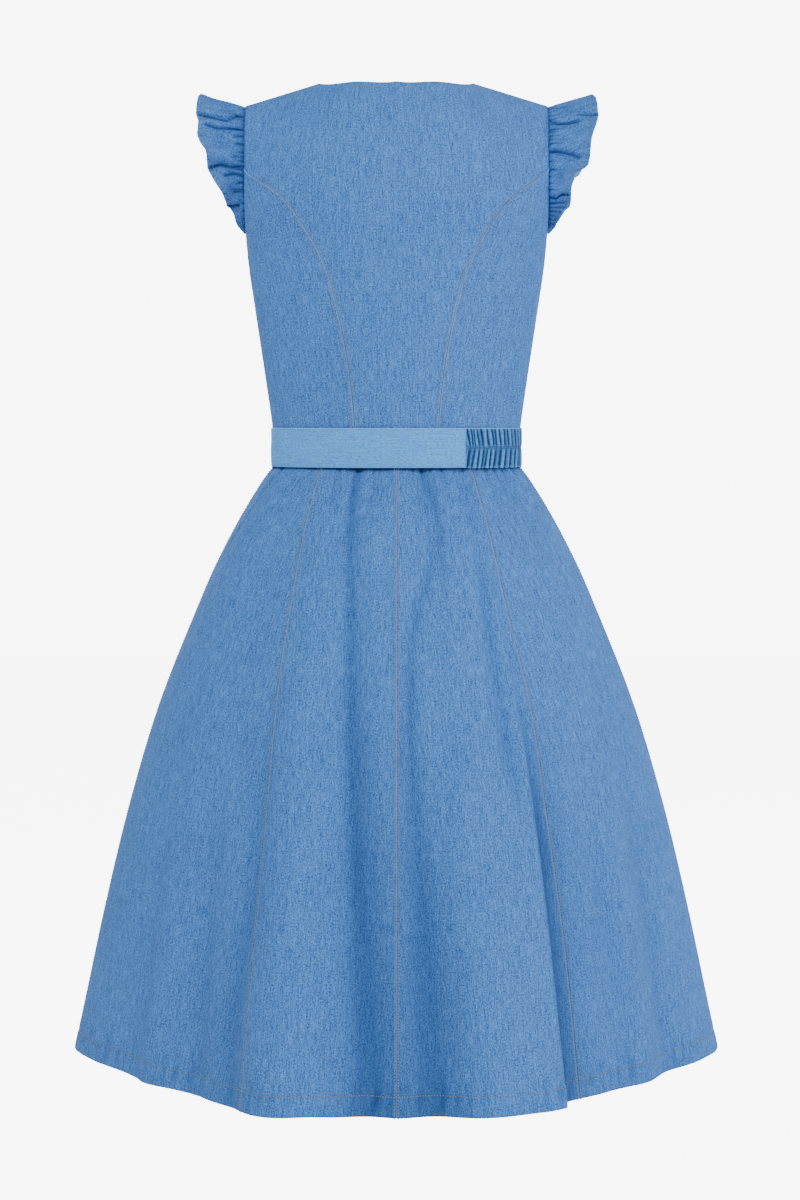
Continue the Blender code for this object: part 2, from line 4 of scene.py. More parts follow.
import bpy
import numpy as np
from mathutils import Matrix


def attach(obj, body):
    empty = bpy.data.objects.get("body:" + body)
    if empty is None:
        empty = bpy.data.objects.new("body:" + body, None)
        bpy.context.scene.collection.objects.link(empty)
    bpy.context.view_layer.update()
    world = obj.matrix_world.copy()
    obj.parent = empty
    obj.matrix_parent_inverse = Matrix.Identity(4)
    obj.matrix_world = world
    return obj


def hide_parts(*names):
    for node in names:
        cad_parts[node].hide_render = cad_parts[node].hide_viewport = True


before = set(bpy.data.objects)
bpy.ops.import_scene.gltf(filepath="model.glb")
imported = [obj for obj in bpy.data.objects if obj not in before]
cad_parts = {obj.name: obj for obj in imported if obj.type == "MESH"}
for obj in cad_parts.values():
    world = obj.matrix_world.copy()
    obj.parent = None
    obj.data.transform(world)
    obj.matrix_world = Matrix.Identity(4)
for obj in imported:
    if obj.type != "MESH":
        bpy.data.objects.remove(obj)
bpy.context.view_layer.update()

# ---------------------------------------------------------------- bodice
# The fitted princess bodice is cut from light blue chambray denim: a centre back, a centre front that runs
# up into the shoulder straps, and a side panel beside each of them. Curved seams join the panels.
# Metres, +Z up; the wearer faces -Y, so the back of the dress faces +Y and the wearer's left is +X.

SHELL = 0.0009
WAIST, UNDERARM = -0.386, -0.155
SHOULDER_END, SHOULDER_END_HEIGHT, SHOULDER_SLOPE = 0.1665, -0.012, 0.31
NECK_HALF_WIDTH, BACK_NECK_DEPTH = 0.085, 0.070
FRONT_NECK_DROP, FRONT_NECK_CURVE = 0.118, 3.4


def named(kind, rows):
    """A table's rows, each with the names of its columns."""
    return tuple(kind(*row) for row in rows)


Ring = namedtuple("Ring", "height half_width back_depth front_depth")
BODICE_RINGS = named(Ring, (
    (-0.3860, 0.1350, 0.0860, 0.0910),
    (-0.3655, 0.1362, 0.0866, 0.0922),
    (-0.3535, 0.1377, 0.0872, 0.0936),
    (-0.3135, 0.1435, 0.0900, 0.1005),
    (-0.2475, 0.1535, 0.0960, 0.1140),
    (-0.1815, 0.1630, 0.1020, 0.1240),
    (-0.1550, 0.1655, 0.1040, 0.1240),
))
Column = namedtuple("Column", "share leave_out leave_up arrive_out arrive_down")
BACK_COLUMNS = named(Column, (
    (0.00, 0.006, 0.066, 0.105, 0.006),
    (0.25, 0.012, 0.064, 0.100, -0.003),
    (0.50, 0.022, 0.062, 0.077, 0.008),
    (0.80, 0.036, 0.043, 0.060, 0.020),
    (1.00, 0.052, 0.020, 0.052, 0.018),
))
FRONT_COLUMNS = named(Column, (
    (0.00, 0.000, 0.060, 0.100, 0.020),
    (0.50, 0.012, 0.058, 0.070, 0.018),
    (0.80, 0.024, 0.040, 0.054, 0.020),
    (1.00, 0.042, 0.018, 0.045, 0.018),
))
Seam = namedtuple("Seam", "height distance")
BACK_PRINCESS = named(Seam, (
    (-0.3860, 0.0435),
    (-0.3320, 0.0480),
    (-0.2840, 0.0545),
    (-0.2350, 0.0645),
    (-0.1920, 0.0770),
    (-0.1510, 0.0992),
    (-0.1130, 0.1290),
    (-0.0880, 0.1640),
))
FRONT_PRINCESS = named(Seam, (
    (-0.3860, 0.0500),
    (-0.3000, 0.0600),
    (-0.2350, 0.0720),
    (-0.1920, 0.0840),
    (-0.1510, 0.1040),
    (-0.1180, 0.1320),
    (-0.0950, 0.1640),
))
Half = namedtuple("Half", "name facing depth columns seam")
BACK = Half("back", 1.0, "back_depth", BACK_COLUMNS, BACK_PRINCESS)
FRONT = Half("front", -1.0, "front_depth", FRONT_COLUMNS, FRONT_PRINCESS)
SEARCH_STEPS = 30

# Relief of a pressed, topstitched seam: depth, place and breadth of its rolled edge, ridge and puckers
ROLL_DEPTH, ROLL_BREADTH = 0.0009, 0.0008
RIDGE_HEIGHT, RIDGE_PLACE, RIDGE_BREADTH = 0.0003, 0.0022, 0.0015
PUCKER_HEIGHT, PUCKER_PITCH, PUCKER_BREADTH = 0.0002, 0.0115, 0.007
BODICE_STITCH_INSET = 0.0036
THREAD_LIFT = 0.0001

# Columns crowd towards a panel's borders, given as shares of the way to its middle
BORDER_SHARES = (0.0, 0.0025, 0.006, 0.010, 0.016, 0.026, 0.042, 0.066, 0.100)
# Rows of points to the underarm, to the seam's top and to the shoulder, and how many rows short of the
# armhole the stitches end; columns from the middle to the neck's corner and on, and across a side panel
BODICE_ROWS, CENTRE_STITCHES_SHORT, SIDE_STITCHES_SHORT = (56, 20, 24), 4, 6
BODICE_COLUMNS, SIDE_COLUMNS = (26, 20), 44


def smooth(rows, column, at):
    """A table's column on a smooth curve through its rows, at one place or many."""
    knots = np.array([row[0] for row in rows])
    values = np.array([getattr(row, column) for row in rows])
    slopes = np.gradient(values, knots)
    at = np.clip(at, knots[0], knots[-1])
    low = np.clip(np.searchsorted(knots, at, side="right") - 1, 0, len(knots) - 2)
    step = knots[low + 1] - knots[low]
    part = (at - knots[low]) / step
    start = (1 + 2 * part) * (1 - part) ** 2 * values[low] + part * (1 - part) ** 2 * step * slopes[low]
    end = part**2 * (3 - 2 * part) * values[low + 1] - part**2 * (1 - part) * step * slopes[low + 1]
    return start + end


def crossing(function, low, high):
    """Where a rising function of an array crosses zero, for each of its places."""
    for _ in range(SEARCH_STEPS):
        middle = 0.5 * (low + high)
        below = function(middle) < 0
        low, high = np.where(below, middle, low), np.where(below, high, middle)
    return 0.5 * (low + high)


def uncut(half, share, level):
    """Points of the uncut half: level 0 waist, 1 underarm, 2 shoulder ridge; share 0 centre, 1 edge."""
    side, share = np.where(share < 0, -1.0, 1.0), np.abs(share)
    angle = share * math.pi / 2
    height = WAIST + (UNDERARM - WAIST) * np.minimum(level, 1.0)
    x = smooth(BODICE_RINGS, "half_width", height) * np.sin(angle)
    y = smooth(BODICE_RINGS, half.depth, height) * np.cos(angle)
    ridge_x = SHOULDER_END * share
    ridge_z = SHOULDER_END_HEIGHT + (SHOULDER_END - ridge_x) * SHOULDER_SLOPE
    part = np.clip(level - 1.0, 0.0, 1.0)
    weights = ((1 - part) ** 3, 3 * part * (1 - part) ** 2, 3 * part**2 * (1 - part), part**3)
    ways_x = (x, x, ridge_x, ridge_x)
    ways_y = (y, y + smooth(half.columns, "leave_out", share), smooth(half.columns, "arrive_out", share), 0)
    ways_z = (
        height,
        height + smooth(half.columns, "leave_up", share),
        ridge_z - smooth(half.columns, "arrive_down", share),
        ridge_z,
    )
    x, y, z = (sum(w * way for w, way in zip(weights, ways)) for ways in (ways_x, ways_y, ways_z))
    return np.stack([side * x, half.facing * y, z], axis=-1)


def past_neckline(half, share, level):
    """Below zero on cloth, above zero inside the neck opening."""
    x, y, z = np.moveaxis(uncut(half, share, level), -1, 0)
    across = np.minimum(np.abs(x) / NECK_HALF_WIDTH, 1.0)
    if half.facing > 0:
        return BACK_NECK_DEPTH * np.sqrt(1 - across**2) - y
    ridge = SHOULDER_END_HEIGHT + (SHOULDER_END - NECK_HALF_WIDTH) * SHOULDER_SLOPE
    return z + FRONT_NECK_DROP - (ridge + FRONT_NECK_DROP) * across**FRONT_NECK_CURVE


def cut_out(half, share, row):
    """Points of the cut half: row 0 waist, 1 underarm, 2 neckline or shoulder seam."""
    share, row = np.broadcast_arrays(np.asarray(share, float), np.asarray(row, float))
    neck = crossing(lambda level: past_neckline(half, share, level), np.ones_like(share), 2.0 + 0 * share)
    neck = np.where(SHOULDER_END * np.abs(share) >= NECK_HALF_WIDTH, 2.0, neck)
    return uncut(half, share, np.where(row <= 1.0, row, 1.0 + (neck - 1.0) * (row - 1.0)))


def seam_share(half, rows):
    """Share of the half's breadth at which its princess seam crosses each row."""

    def beyond(share):
        x, _, z = np.moveaxis(cut_out(half, share, rows), -1, 0)
        return x - smooth(half.seam, "distance", z)

    return crossing(beyond, np.zeros_like(rows), np.ones_like(rows))


def from_border(columns, borders=BORDER_SHARES):
    """Places from 0 to 1 that crowd towards both ends."""
    near = np.array(borders) / 2
    middle = np.linspace(near[-1], 1 - near[-1], columns)
    return np.concatenate([near[:-1], middle, 1 - near[-2::-1]])


def travelled(points, axis):
    """Distance along the cloth from a grid's first row or column."""
    steps = np.linalg.norm(np.diff(points, axis=axis), axis=-1)
    start = np.zeros_like(np.take(steps, [0], axis=axis))
    return np.cumsum(np.concatenate([start, steps], axis=axis), axis=axis)


def outward(points):
    """Direction out of the cloth at each point of a grid with rows upwards and columns to the right."""
    out = np.cross(np.gradient(points, axis=0), np.gradient(points, axis=1))
    return out / np.maximum(np.linalg.norm(out, axis=-1, keepdims=True), 1e-12)


def from_sides(points):
    """Distance along each row to the nearer side border."""
    across = travelled(points, 1)
    return np.minimum(across, across[:, -1:] - across)


def ease(part):
    """Smooth step from 0 to 1."""
    part = np.clip(part, 0.0, 1.0)
    return part * part * (3 - 2 * part)


def wavering(along, pitch, seed=0.0):
    """An uneven wave of about that pitch, from -1 to 1."""
    turn = 2 * math.pi * along / pitch
    strength = 0.62 + 0.38 * np.sin(turn / 7.3 + 2.1 * seed)
    return strength * np.sin(turn + 1.7 * np.sin(turn / 4.3 + seed) + seed)


def seam_relief(beside, along, seed=0.0):
    """Height of the cloth beside a topstitched seam: rolled edge, padded ridge and stitch puckers."""
    roll = -ROLL_DEPTH * np.exp(-((beside / ROLL_BREADTH) ** 2))
    ridge = RIDGE_HEIGHT * np.exp(-(((beside - RIDGE_PLACE) / RIDGE_BREADTH) ** 2))
    fading = np.exp(-((beside / PUCKER_BREADTH) ** 2)) * (1 - np.exp(-((beside / RIDGE_PLACE) ** 2)))
    return roll + ridge + PUCKER_HEIGHT * wavering(along, PUCKER_PITCH, seed) * fading


def beside_border(points, inset, right=False):
    """Path that keeps a distance from a grid's left or right border, just proud of the cloth."""
    grid = (points + outward(points) * THREAD_LIFT)[:, :: -1 if right else 1]
    rows = zip(travelled(grid, 1), grid)
    return np.array([[np.interp(inset, reach, values) for values in row.T] for reach, row in rows])


def node(tree, kind, inputs=None, **settings):
    """Add a shader or geometry node; an input is given a value or another node's output."""
    made = tree.nodes.new(kind)
    for name, value in settings.items():
        setattr(made, name, value)
    for name, value in (inputs or {}).items():
        if isinstance(value, bpy.types.NodeSocket):
            tree.links.new(value, made.inputs[name])
        else:
            made.inputs[name].default_value = value
    return made


def yarn_noise(tree, across, along, shift, detail=2.0):
    """Noise whose grains measure across by along metres on the cloth."""
    weave = node(tree, "ShaderNodeUVMap", uv_map="weave").outputs["UV"]
    laid = {"Vector": weave, "Scale": (1 / across, 1 / along, 1), "Location": (shift, 1.7 * shift, 0)}
    placed = node(tree, "ShaderNodeMapping", laid).outputs[0]
    noise = node(tree, "ShaderNodeTexNoise", {"Vector": placed, "Scale": 1.0, "Detail": detail})
    return noise.outputs["Fac"]


def tuned(tree, value, low, high, to_low=0.0, to_high=1.0):
    """The value's range from low to high spread over another range."""
    ranges = {"Value": value, "From Min": low, "From Max": high, "To Min": to_low, "To Max": to_high}
    return node(tree, "ShaderNodeMapRange", ranges).outputs[0]


def mixed(tree, share, first, second):
    """Mix of two colours, or of a colour and a node's colour."""
    mix = tree.nodes.new("ShaderNodeMix")
    mix.data_type = "RGBA"
    for socket, value in zip((mix.inputs[0], mix.inputs[6], mix.inputs[7]), (share, first, second)):
        if isinstance(value, bpy.types.NodeSocket):
            tree.links.new(value, socket)
        else:
            socket.default_value = value if isinstance(value, float) else (*value, 1.0)
    return mix.outputs[2]


def combined(tree, parts):
    """Weighted sum of noises, each around zero, on top of one half."""
    total = 0.5
    for value, weight in parts:
        centred = tuned(tree, value, 0.25, 0.75, -weight, weight)
        total = node(tree, "ShaderNodeMath", {0: total, 1: centred}, operation="ADD").outputs[0]
    return total


def principled(name):
    """A new material, its node tree and its shader."""
    material = bpy.data.materials.new(name)
    material.use_nodes = True
    tree = material.node_tree
    return material, tree, tree.nodes["Principled BSDF"]


def in_scene(name, data):
    """A new object in the scene."""
    made = bpy.data.objects.new(name, data)
    bpy.context.scene.collection.objects.link(made)
    return made


# Colours of the cloth: its dye, a fold colour that is painted shade, the dark line of a seam, and a pale seam
# edge that is wear and a painted highlight
DyeAndShade = namedtuple("DyeAndShade", "deep pale speck fleck fold seam_line rubbed")
Yarn = namedtuple("Yarn", "slub_across slub_along grain_across grain_along")
DENIM_YARN = Yarn(0.0011, 0.0120, 0.0012, 0.0017)
DENIM_DYE_AND_SHADE = DyeAndShade(
    deep=(0.030, 0.098, 0.315),
    pale=(0.128, 0.365, 0.880),
    speck=(0.010, 0.036, 0.140),
    fleck=(0.200, 0.500, 1.000),
    fold=(0.012, 0.050, 0.185),
    seam_line=(0.012, 0.045, 0.150),
    rubbed=(0.240, 0.520, 0.980),
)
REVERSE_DYE_AND_SHADE = DyeAndShade(
    deep=(0.160, 0.290, 0.520),
    pale=(0.400, 0.560, 0.780),
    speck=(0.060, 0.130, 0.260),
    fleck=(0.560, 0.680, 0.820),
    fold=(0.100, 0.190, 0.360),
    seam_line=(0.160, 0.270, 0.440),
    rubbed=(0.460, 0.600, 0.800),
)
# Faint streaks of thicker warp yarn and clouds of uneven dye, across and along the warp
STREAK, CLOUD = (0.0032, 0.055), (0.045, 0.075)
SLUB_WEIGHT, GRAIN_WEIGHT, STREAK_WEIGHT, CLOUD_WEIGHT = 0.36, 0.64, 0.13, 0.04
# Widths of the dark seam line and of the pale seam edge, which is wear and a painted highlight on its rolled
# edge
SEAM_LINE_WIDTH, RUB_AND_HIGHLIGHT_WIDTH = 0.0013, 0.0026
THREAD_RELIEF, ROUGHNESS_SPREAD, SHEEN_ROUGHNESS = 0.00022, 0.06, 0.6


def woven(name, dye_and_shade, yarn, roughness, sheen, gloss=0.04):
    """Chambray denim: slubs along the warp, short grain, navy specks, pale flecks, painted shade in folds and
    seam edges rubbed pale, partly a painted highlight.
    """
    material, tree, shader = principled(name)
    slub = yarn_noise(tree, yarn.slub_across, yarn.slub_along, 3.0)
    grain = yarn_noise(tree, yarn.grain_across, yarn.grain_along, 11.0)
    streak = yarn_noise(tree, *STREAK, 7.0)
    cloud = yarn_noise(tree, *CLOUD, 5.0)
    yarns = ((slub, SLUB_WEIGHT), (grain, GRAIN_WEIGHT), (streak, STREAK_WEIGHT), (cloud, CLOUD_WEIGHT))
    tone = combined(tree, yarns)
    colour = mixed(tree, tone, dye_and_shade.deep, dye_and_shade.pale)
    specks = yarn_noise(tree, yarn.grain_across * 1.1, yarn.grain_along * 1.5, 23.0, detail=1.0)
    flecks = yarn_noise(tree, yarn.grain_across, yarn.grain_along * 1.1, 31.0, detail=1.0)
    colour = mixed(tree, tuned(tree, specks, 0.60, 0.78, 0.0, 0.62), colour, dye_and_shade.speck)
    colour = mixed(tree, tuned(tree, flecks, 0.62, 0.80, 0.0, 0.55), colour, dye_and_shade.fleck)
    # Painted shade: towards the fold colour where the hollow attribute marks a fold, a seam or a shadow
    hollow = node(tree, "ShaderNodeAttribute", attribute_name="hollow").outputs["Fac"]
    colour = mixed(tree, tuned(tree, hollow, 0.0, 1.0, 0.0, 0.92), colour, dye_and_shade.fold)
    # The pale seam edge is wear and a painted highlight on the rolled edge
    beside = node(tree, "ShaderNodeAttribute", attribute_name="seam").outputs["Fac"]
    rubbed = tuned(tree, beside, RUB_AND_HIGHLIGHT_WIDTH, 0.8 * RUB_AND_HIGHLIGHT_WIDTH, 0.0, 0.6)
    colour = mixed(tree, rubbed, colour, dye_and_shade.rubbed)
    seam_line = tuned(tree, beside, SEAM_LINE_WIDTH, 0.6 * SEAM_LINE_WIDTH, 0.0, 0.9)
    colour = mixed(tree, seam_line, colour, dye_and_shade.seam_line)
    tree.links.new(colour, shader.inputs["Base Color"])
    smoothest, roughest = roughness - ROUGHNESS_SPREAD, roughness + ROUGHNESS_SPREAD
    tree.links.new(tuned(tree, grain, 0.2, 0.8, smoothest, roughest), shader.inputs["Roughness"])
    threads = node(tree, "ShaderNodeMath", {0: slub, 1: grain}, operation="ADD").outputs[0]
    relief = node(tree, "ShaderNodeBump", {"Height": threads, "Strength": 0.5, "Distance": THREAD_RELIEF})
    tree.links.new(relief.outputs[0], shader.inputs["Normal"])
    shader.inputs["Specular IOR Level"].default_value = gloss
    shader.inputs["Sheen Weight"].default_value = sheen
    shader.inputs["Sheen Roughness"].default_value = SHEEN_ROUGHNESS
    return material


denim = woven("denim", DENIM_DYE_AND_SHADE, DENIM_YARN, roughness=0.86, sheen=0.03)
denim_reverse = woven("denim_reverse", REVERSE_DYE_AND_SHADE, DENIM_YARN, roughness=0.9, sheen=0.03)
DENIM = ("denim", SHELL, (denim, denim_reverse))


def cloth(node_name, points, seam_distance, hollow, cut, stuff=DENIM, **hanging):
    """Shell through a grid of points, its weave laid along the middle column, in place of its solid.

    Hollow is painted shade: 0 on open cloth and 1 deep in a fold, in a seam's shadow or under the belt."""
    slot, thickness, finishes = stuff
    rows, columns = points.shape[:2]
    index = np.arange(rows * columns).reshape(rows, columns)
    quads = np.stack([index[:-1, :-1], index[1:, :-1], index[1:, 1:], index[:-1, 1:]], axis=-1).reshape(-1, 4)
    mesh = bpy.data.meshes.new(node_name + "_cloth")
    mesh.from_pydata(points.reshape(-1, 3).tolist(), [], quads.tolist())
    across = travelled(points, 1)
    across -= across[:, [columns // 2]]
    along = travelled(points, 0)[:, [columns // 2]] + 0 * across
    weave = np.stack([across, along], axis=-1).reshape(-1, 2)
    mesh.uv_layers.new(name="weave").data.foreach_set("uv", weave[quads.reshape(-1)].reshape(-1))
    for label, values in (("seam", seam_distance), ("hollow", hollow)):
        attribute = mesh.attributes.new(label, "FLOAT", "POINT")
        attribute.data.foreach_set("value", (values + 0 * across).reshape(-1))
    for finish in finishes:
        mesh.materials.append(finish)
    mesh.shade_smooth()
    piece = in_scene(node_name + "_cloth", mesh)
    wall = piece.modifiers.new("thickness", "SOLIDIFY")
    wall.thickness = thickness
    wall.offset = -1.0
    wall.material_offset = 1 if len(finishes) > 1 else 0
    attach(piece, "root")
    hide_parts(node_name)
    return piece


Drape = namedtuple("Drape", "height across depth reach_up reach_across slant")
BACK_DRAPES = named(Drape, (
    (-0.300, 0.060, 0.0011, 0.050, 0.014, 0.35),
    (-0.345, -0.052, 0.0009, 0.026, 0.020, -0.50),
    (-0.350, 0.030, 0.0008, 0.022, 0.013, 0.20),
    (-0.110, 0.105, 0.0013, 0.034, 0.012, 0.70),
    (-0.105, -0.108, 0.0012, 0.036, 0.012, -0.70),
    (-0.205, -0.115, 0.0010, 0.040, 0.016, 0.30),
))
FRONT_DRAPES = named(Drape, (
    (-0.210, 0.098, 0.0014, 0.045, 0.012, 0.60),
    (-0.215, -0.100, 0.0013, 0.042, 0.013, -0.55),
    (-0.320, 0.050, 0.0010, 0.035, 0.014, 0.30),
    (-0.335, -0.040, 0.0010, 0.030, 0.015, -0.25),
    (-0.085, 0.115, 0.0012, 0.030, 0.012, 0.80),
    (-0.088, -0.113, 0.0012, 0.032, 0.012, -0.80),
))


def draped(points, drapes):
    """Depth of the soft creases of a worn bodice."""
    depth = np.zeros(points.shape[:2])
    for drape in drapes:
        up = points[..., 2] - drape.height
        across = points[..., 0] - drape.across - drape.slant * up
        depth -= drape.depth * np.exp(-((up / drape.reach_up) ** 2) - (across / drape.reach_across) ** 2)
    return depth


# Depth of a drape that counts as a full hollow, and reach, pitch and height of the painted shade at the
# armhole. The dark seam line lies on the centre panels; the edge of a side panel is only rolled and rubbed
# pale, partly a painted highlight.
DRAPE_SHADE, ARMHOLE_SHADE, ARMHOLE_PITCH, ARMHOLE_FADE = 0.030, 0.0018, 0.0105, 0.03
PALE_SIDE, DARK_SIDE = 0.0013, 0.0009
SIDES = ((1.0, "left"), (-1.0, "right"))


def bodice_panel(points, drapes, seed, flat_top):
    """The panel's points with its seams pressed and its creases laid, distance to its sides, crease shade."""
    beside = from_sides(points)
    relief = seam_relief(beside, travelled(points, 0), seed)
    if flat_top:
        relief[-1] = 0.0
    soft = draped(points, drapes)
    return points + outward(points) * (relief + soft)[..., None], beside, -soft / DRAPE_SHADE


def armhole_shade(points, rise, from_armhole, steady):
    """Shade along the gathered armhole seam, from the foot of the armhole up."""
    uneven = steady + (1 - steady) * wavering(travelled(points, 0), ARMHOLE_PITCH, 0.3)
    return ease(rise / ARMHOLE_FADE)[:, None] * np.exp(-((from_armhole / ARMHOLE_SHADE) ** 2)) * uneven


bodice_stitches = []
Cut = namedtuple("Cut", "width length area")
CENTRE_CUT = {"back": Cut(0.36, 0.42, 0.098), "front": Cut(0.36, 0.44, 0.085)}
SIDE_CUT = {"back": Cut(0.17, 0.32, 0.040), "front": Cut(0.17, 0.31, 0.041)}

for half, drapes in ((BACK, BACK_DRAPES), (FRONT, FRONT_DRAPES)):
    seam_top = crossing(lambda row: cut_out(half, 1.0, row)[..., 2] - half.seam[-1].height, 1.0, 2.0)
    stops = (0, 1, seam_top, 2)
    spans = [np.linspace(*span) for span in zip(stops, stops[1:], BODICE_ROWS)]
    rows = np.concatenate([spans[0][:-1], spans[1][:-1], spans[2]])
    below = BODICE_ROWS[0] + BODICE_ROWS[1] - 1
    edges = np.concatenate([seam_share(half, rows[:below]), np.ones(len(rows) - below)])
    neck = NECK_HALF_WIDTH / SHOULDER_END
    crowding = [1 - (1 - np.arange(columns) / columns) ** 1.5 for columns in BODICE_COLUMNS]
    half_places = np.concatenate([neck * crowding[0], neck + (1 - neck) * crowding[1], [1.0]])
    places = np.concatenate([-half_places[:0:-1], half_places]) * half.facing
    points = cut_out(half, places[None, :] * edges[:, None], rows[:, None] + 0 * places)
    points, beside, crease_shade = bodice_panel(points, drapes, seed=0.4, flat_top=False)
    above_seam = rows - rows[below - 2]
    hollow = armhole_shade(points, above_seam, beside, steady=0.62) + crease_shade
    seam = np.where(beside < DARK_SIDE, beside, beside + 0.7 * PALE_SIDE)
    seam = seam + ease(above_seam / 0.02)[:, None] * 2 * PALE_SIDE
    cloth("bodice_" + half.name, points, seam, hollow, CENTRE_CUT[half.name], held="hung")
    for right in (False, True):
        stitched = points[: below - CENTRE_STITCHES_SHORT]
        bodice_stitches.append(beside_border(stitched, BODICE_STITCH_INSET, right))
    side_rows = rows[: below + 1]
    side_edges = edges[: below + 1, None]
    for side, side_name in SIDES:
        seam_at_right = side * half.facing < 0
        shares = side * (side_edges + (1 - side_edges) * from_border(SIDE_COLUMNS))
        if seam_at_right:
            shares = shares[:, ::-1]
        points = cut_out(half, shares, side_rows[:, None] + 0 * shares)
        points, beside, crease_shade = bodice_panel(points, drapes, seed=1.9 + side, flat_top=True)
        across = travelled(points, 1)
        from_outer = across if seam_at_right else across[:, -1:] - across
        hollow = armhole_shade(points, side_rows - 1.0, from_outer, steady=0.75) + crease_shade
        seam = np.where(from_outer < 0.5 * across[:, -1:], beside + 3 * PALE_SIDE, beside + PALE_SIDE)
        name = f"bodice_side_{half.name}_{side_name}"
        cloth(name, points, seam, hollow, SIDE_CUT[half.name], held="hung")
        stitched = points[: below - SIDE_STITCHES_SHORT]
        bodice_stitches.append(beside_border(stitched, BODICE_STITCH_INSET, seam_at_right))

# ---------------------------------------------------------------- skirt
# Seven flared gores of the same denim, gathered into the waist seam and hemmed with a 20 mm turn-up. The
# seams carry two rows of tan topstitching, the hem one. The cloth hangs in broad folds and one deep lap.

HEM = -1.047
SKIRT_TOP = -0.3863
HEM_TURN = 0.0195
SKIRT_RINGS = named(Ring, (
    (-1.0470, 0.3570, 0.3050, 0.2950),
    (-0.9950, 0.3455, 0.2930, 0.2840),
    (-0.8850, 0.3213, 0.2680, 0.2610),
    (-0.7750, 0.2940, 0.2390, 0.2340),
    (-0.6650, 0.2603, 0.2060, 0.2040),
    (-0.5770, 0.2253, 0.1740, 0.1730),
    (-0.5110, 0.1965, 0.1480, 0.1490),
    (-0.4455, 0.1610, 0.1160, 0.1180),
    (-0.4235, 0.1470, 0.1020, 0.1050),
    (-0.4080, 0.1366, 0.0890, 0.0935),
    (-0.3860, 0.1350, 0.0860, 0.0910),
))
GoreSeam = namedtuple("GoreSeam", "height left right front")
GORE_SEAMS = named(GoreSeam, (
    (-1.0470, 0.158, 0.201, 0.175),
    (-0.8925, 0.1455, 0.1825, 0.157),
    (-0.7695, 0.1366, 0.1625, 0.144),
    (-0.6447, 0.1253, 0.1420, 0.130),
    (-0.5505, 0.1115, 0.1167, 0.114),
    (-0.4692, 0.0974, 0.0982, 0.098),
    (-0.4080, 0.0827, 0.0816, 0.082),
    (-0.3860, 0.0800, 0.0790, 0.080),
))
FOLD_DRIFT = 0.6
Fold = namedtuple("Fold", "waist_azimuth hem_azimuth spread out start growth")
SKIRT_FOLDS = named(Fold, (
    # The flanks, left and right of the photographed back and then of the front, lie flatter
    (72, 72, 22, -0.025, 0.00, 1.3),
    (56, 56, 22, -0.028, 0.00, 1.3),
    (42, 40, 17, -0.027, 0.00, 1.2),
    (-72, -72, 22, -0.025, 0.00, 1.3),
    (-56, -56, 22, -0.030, 0.00, 1.3),
    (-42, -40, 17, -0.028, 0.00, 1.2),
    (108, 108, 22, -0.020, 0.00, 1.3),
    (125, 125, 24, -0.022, 0.00, 1.3),
    (-107, -107, 22, -0.018, 0.00, 1.3),
    (-126, -126, 24, -0.022, 0.00, 1.3),
    # Crest inside the left seam, a trough each side of the centre back, and the crest before the lap
    (28, 20.5, 9, 0.0145, 0.05, 1.1),
    (18, 5, 7, -0.007, 0.00, 0.5),
    (-11, -6, 7, -0.007, 0.00, 0.6),
    (-19, -16, 9, 0.007, 0.05, 0.8),
    # A trough and a crest each side of the centre front
    (164, 168, 9, -0.010, 0.00, 0.6),
    (152, 150, 10, 0.012, 0.05, 1.0),
    (-170, -166, 9, -0.010, 0.00, 0.6),
    (-150, -148, 10, 0.011, 0.05, 1.0),
))
Lap = namedtuple("Lap", "azimuth crest drop crest_spread trough_spread edge start")
SKIRT_LAP = Lap(-30.0, 0.003, 0.0125, 12.0, 12.0, 1.9, 0.03)

# Tucks pushed into the waist seam: azimuth, depth, half width at the belt and length below it
Tuck = namedtuple("Tuck", "azimuth depth half_width length")
WAIST_TUCKS = named(Tuck, (
    (66, 0.0008, 0.0040, 0.035),
    (43, 0.0008, 0.0040, 0.030),
    (27, 0.0018, 0.0030, 0.030),
    (22, 0.0012, 0.0030, 0.028),
    (17.3, 0.0030, 0.0040, 0.110),
    (10.6, 0.0020, 0.0026, 0.045),
    (7.8, 0.0018, 0.0022, 0.040),
    (4.6, 0.0014, 0.0022, 0.030),
    (-3.0, 0.0010, 0.0022, 0.026),
    (-6.8, 0.0020, 0.0028, 0.060),
    (-11.3, 0.0026, 0.0034, 0.060),
    (-15.0, 0.0020, 0.0028, 0.045),
    (-20.4, 0.0024, 0.0030, 0.060),
    (-26.6, 0.0016, 0.0028, 0.036),
    (-31.5, 0.0020, 0.0034, 0.075),
    (-38.0, 0.0014, 0.0028, 0.030),
    (-44.8, 0.0022, 0.0034, 0.060),
    (-51.0, 0.0022, 0.0034, 0.055),
    (-58.0, 0.0026, 0.0038, 0.075),
    (-67.5, 0.0020, 0.0036, 0.055),
    (-78.0, 0.0014, 0.0036, 0.045),
    (80, 0.0012, 0.0036, 0.040),
))
FRONT_TUCKS, FRONT_TUCK_PITCH, FRONT_TUCK = 29, 6.1, Tuck(90, 0.0020, 0.0031, 0.052)

